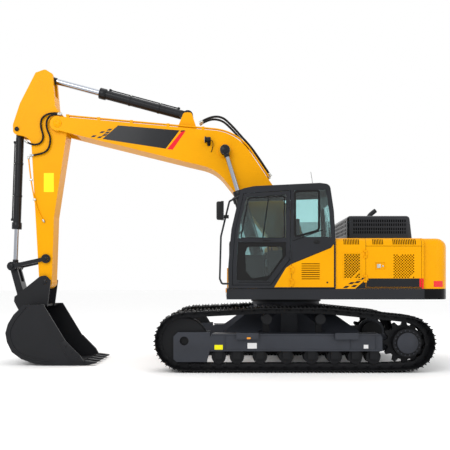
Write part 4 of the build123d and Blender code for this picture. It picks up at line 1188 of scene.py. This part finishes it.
# ---- working gear
@dataclass
class GearTrim:
    """Steel lines on the stick, the lamps on the boom and the undercarriage's bolts and edges."""

    pipe: Outline = ((-4.6, 3.66), (-4.572, 3.387), (-4.53, 3.1), (-4.476, 2.825), (-4.4, 2.62),
                              (-4.33, 2.52))
    lamp: Pair = (-1.405, 3.93)
    drive: Pair = (1.79, 0.46)

    def stick_lines(self) -> None:
        """Steel line down each side of the stick with two clamps and a plated end."""
        y = -0.192
        line = hose(tuple((x, y, z) for x, z in self.pipe), 0.0125, 6)
        fit("stick_line", line, YELLOW, "arm", mirrored=True)
        fittings = [block((x - 0.026, -0.207, z - 0.016), (x + 0.026, -0.1722, z + 0.016))
                    for x, z in ((-4.553, 3.25), (-4.492, 2.9))]
        fittings += [rod((-4.345, y, 2.545), (-4.315, y, 2.5), 0.019, 6, 2),
                     rod((-4.601, y, 3.67), (-4.592, y, 3.62), 0.019, 6, 2)]
        fit("stick_fittings", fittings, ZINC, "arm", mirrored=True)

    def lamps(self) -> None:
        """Round work lamp on a bracket on each side of the boom, shining ahead."""
        (x, z), y = self.lamp, -0.34
        parts = [rod((x + 0.055, y, z), (x - 0.03, y, z), 0.048, 28, 8),
                 rod((x - 0.028, y, z), (x - 0.052, y, z), 0.058, 28, 3),
                 block((x - 0.005, -0.258, z - 0.09), (x + 0.045, -0.2502, z - 0.01), 2),
                 block((x - 0.01, -0.345, z - 0.058), (x + 0.05, -0.2505, z - 0.048), 2)]
        fit("boom_lamps", parts, PLASTIC, "boom", mirrored=True)
        lens = rod((x - 0.0515, y, z), (x - 0.0545, y, z), 0.05, 28, 1)
        fit("boom_lamp_lens", lens, CLEAR_LENS, "boom", mirrored=True)
        cable = hose(((x + 0.05, y, z), (x + 0.09, y + 0.01, z - 0.01), (x + 0.1, -0.27, z - 0.09),
                      (x + 0.06, -0.2565, z - 0.2)), 0.006, 6)
        fit("lamp_cable", cable, RUBBER, "boom", mirrored=True)

    def undercarriage(self) -> None:
        """Bolts and rims of the final drives, edges and ribs of the track frames."""
        x, z = self.drive
        rim = pin(x, z, -1.404, -1.411, 0.166, 48, 3)
        bolt = pin(x + 0.195, z, -1.379, -1.392, 0.012, 6, 1)
        fit("drive_bolts", [rim, *ring(bolt, x, z, 18)], CHASSIS, "undercarriage", mirrored=True)
        edges = [block((-1.325, -1.372, 0.585), (1.36, -1.352, 0.6035)),
                 block((-1.325, -1.372, 0.327), (1.36, -1.3595, 0.352))]
        edges += [block((x - 0.008, -1.372, 0.35), (x + 0.008, -1.3595, 0.586)) for x in (-1.1, 0.9, 1.3)]
        fit("frame_edges", edges, CHASSIS, "undercarriage", mirrored=True)

    def build(self) -> None:
        """Fit them all."""
        self.stick_lines()
        self.lamps()
        self.undercarriage()


@dataclass
class PinCaps:
    """Cover plates and bolts on the ends of the pins."""

    caps: tuple[tuple[str, Pair, float, float], ...] = (
        # body, pin place (x, z), end face half width, radius
        ("boom", (-4.07, 4.245), 0.25, 0.075), ("boom_rods", (-1.1, 3.75), 0.405, 0.07),
        ("arm", (-4.3, 1.433), 0.248, 0.045), ("arm", (-4.29, 1.848), 0.217, 0.04),
        ("arm", (-4.81, 4.16), 0.184, 0.04), ("guide_link", (-4.898, 1.715), 0.227, 0.04),
        ("house", (0.1, 1.93), 0.29, 0.055), ("house", (-0.375, 1.425), 0.434, 0.045))

    def build(self) -> None:
        """Bolt a cap onto both ends of each pin."""
        for index, (body, (x, z), half, radius) in enumerate(self.caps):
            cap = pin(x, z, -half + 0.001, -half - 0.008, radius, 28, 3)
            out = x + radius * 0.55
            bolt = pin(out, z, -half - 0.007, -half - 0.016, 0.009, 6, 1)
            fit(f"pin_cap_{index + 1}", [cap, *ring(bolt, x, z, 3)], GEAR if body != "boom" else YELLOW, body,
                mirrored=True)


@dataclass
class BucketTrim:
    """Side cutters, wear ribs and the pins that hold the teeth."""

    half: float = 0.63
    rib: Outline = ((-4.5, 1), (-4.655, 0.83), (-4.74, 0.69), (-4.785, 0.56), (-4.76, 0.42),
                             (-4.69, 0.28), (-4.55, 0.175), (-4.33, 0.1), (-4.03, 0.07))
    cutter: Outline = ((-3.51, 0.06), (-3.57, 0.17), (-3.825, 0.43), (-3.93, 0.4), (-3.74, 0.06))

    def build(self) -> None:
        """Fit the side cutters with their bolts, the side ribs and the tooth pins."""
        y = -self.half
        parts = [plate(self.cutter, y + 0.001, -0.018, 4)]
        parts += [pin(x, z, y - 0.016, y - 0.03, 0.019, 6, 2)
                  for x, z in ((-3.63, 0.14), (-3.72, 0.23), (-3.82, 0.34))]
        parts.append(hose(tuple((x, y - 0.001, z) for x, z in self.rib), 0.011, 6))
        fit("bucket_cutters", parts, BUCKET, "bucket", mirrored=True)
        pitch = (2 * self.half - 0.15) / 4
        one = pin(-3.475, 0.046, -0.058, 0.058, 0.011, 12)
        fit("tooth_pins", row(one, [(0, (index - 2) * pitch, 0) for index in range(5)]), ZINC, "bucket")


# ---- studio
@dataclass
class Studio:
    """Plain pale floor, soft lights and the camera."""

    lens_mm: float = 48.56
    camera: Point = (-1.1, -11, 1.38)
    shift_y: float = 0.1333
    floor_radius: float = 150.0
    air: float = 1.0           # strength of the white surroundings
    lights: tuple[tuple[str, Point, Point, float, float], ...] = (
        # name, place, looks at, side in metres, watts
        ("key", (-7, -11, 9), (-1, 0, 2), 7, 650),
        ("fill", (8, -9, 5), (0, 0, 1.5), 6, 150),
        ("top", (-1, 1, 13), (-1, 0, 0), 10, 250),
        ("back", (2, 11, 7), (0, 0, 2), 7, 200),
    )

    def place(self, name: str, data: bpy.types.ID, place: Point, aim: Vector) -> Piece:
        """Put a lamp or the camera in its place, facing along a direction."""
        holder = bpy.data.objects.new(name, data)
        holder.location = place
        holder.rotation_euler = aim.to_track_quat("-Z", "Y").to_euler()
        bpy.context.scene.collection.objects.link(holder)
        return holder

    def build(self) -> None:
        """Set the world, the floor, the lights and the camera."""
        scene = bpy.context.scene
        scene.view_settings.view_transform = "Standard"
        world = bpy.data.worlds.new("studio_air")
        world.use_nodes = True
        background = world.node_tree.nodes["Background"]
        background.inputs["Color"].default_value = linear("ffffff")
        background.inputs["Strength"].default_value = self.air
        scene.world = world
        bpy.ops.mesh.primitive_circle_add(vertices=64, radius=self.floor_radius, fill_type="NGON",
                                          location=(0, 0, -0.001))
        floor = bpy.context.object
        floor.name = "studio_floor"
        SHOP.coat(floor, PALE_FLOOR)
        for name, place, target, side, watts in self.lights:
            lamp = bpy.data.lights.new(name, "AREA")
            lamp.shape, lamp.size, lamp.energy = "SQUARE", side, watts
            self.place(name, lamp, place, Vector(target) - Vector(place))
        lens = bpy.data.cameras.new("camera")
        lens.lens, lens.sensor_width, lens.shift_y = self.lens_mm, 36, self.shift_y
        scene.camera = self.place("camera", lens, self.camera, Vector((0, 1, 0)))


def main() -> None:
    """Build every sub-assembly in order and report each piece."""
    logging.basicConfig(level=logging.INFO, format="%(name)s: %(message)s")
    bpy.ops.object.select_all(action="DESELECT")
    Studio().build()
    SHOP.coat_nodes()
    for part in (*[Track(side, name) for side, name in SIDES], Stripes(), CabTrim(), HouseTrim(),
                 Hydraulics(), *CYLINDERS, GearTrim(), PinCaps(), BucketTrim()):
        part.build()
        LOG.info("built %s", type(part).__name__)


if __name__ == "__main__":
    main()
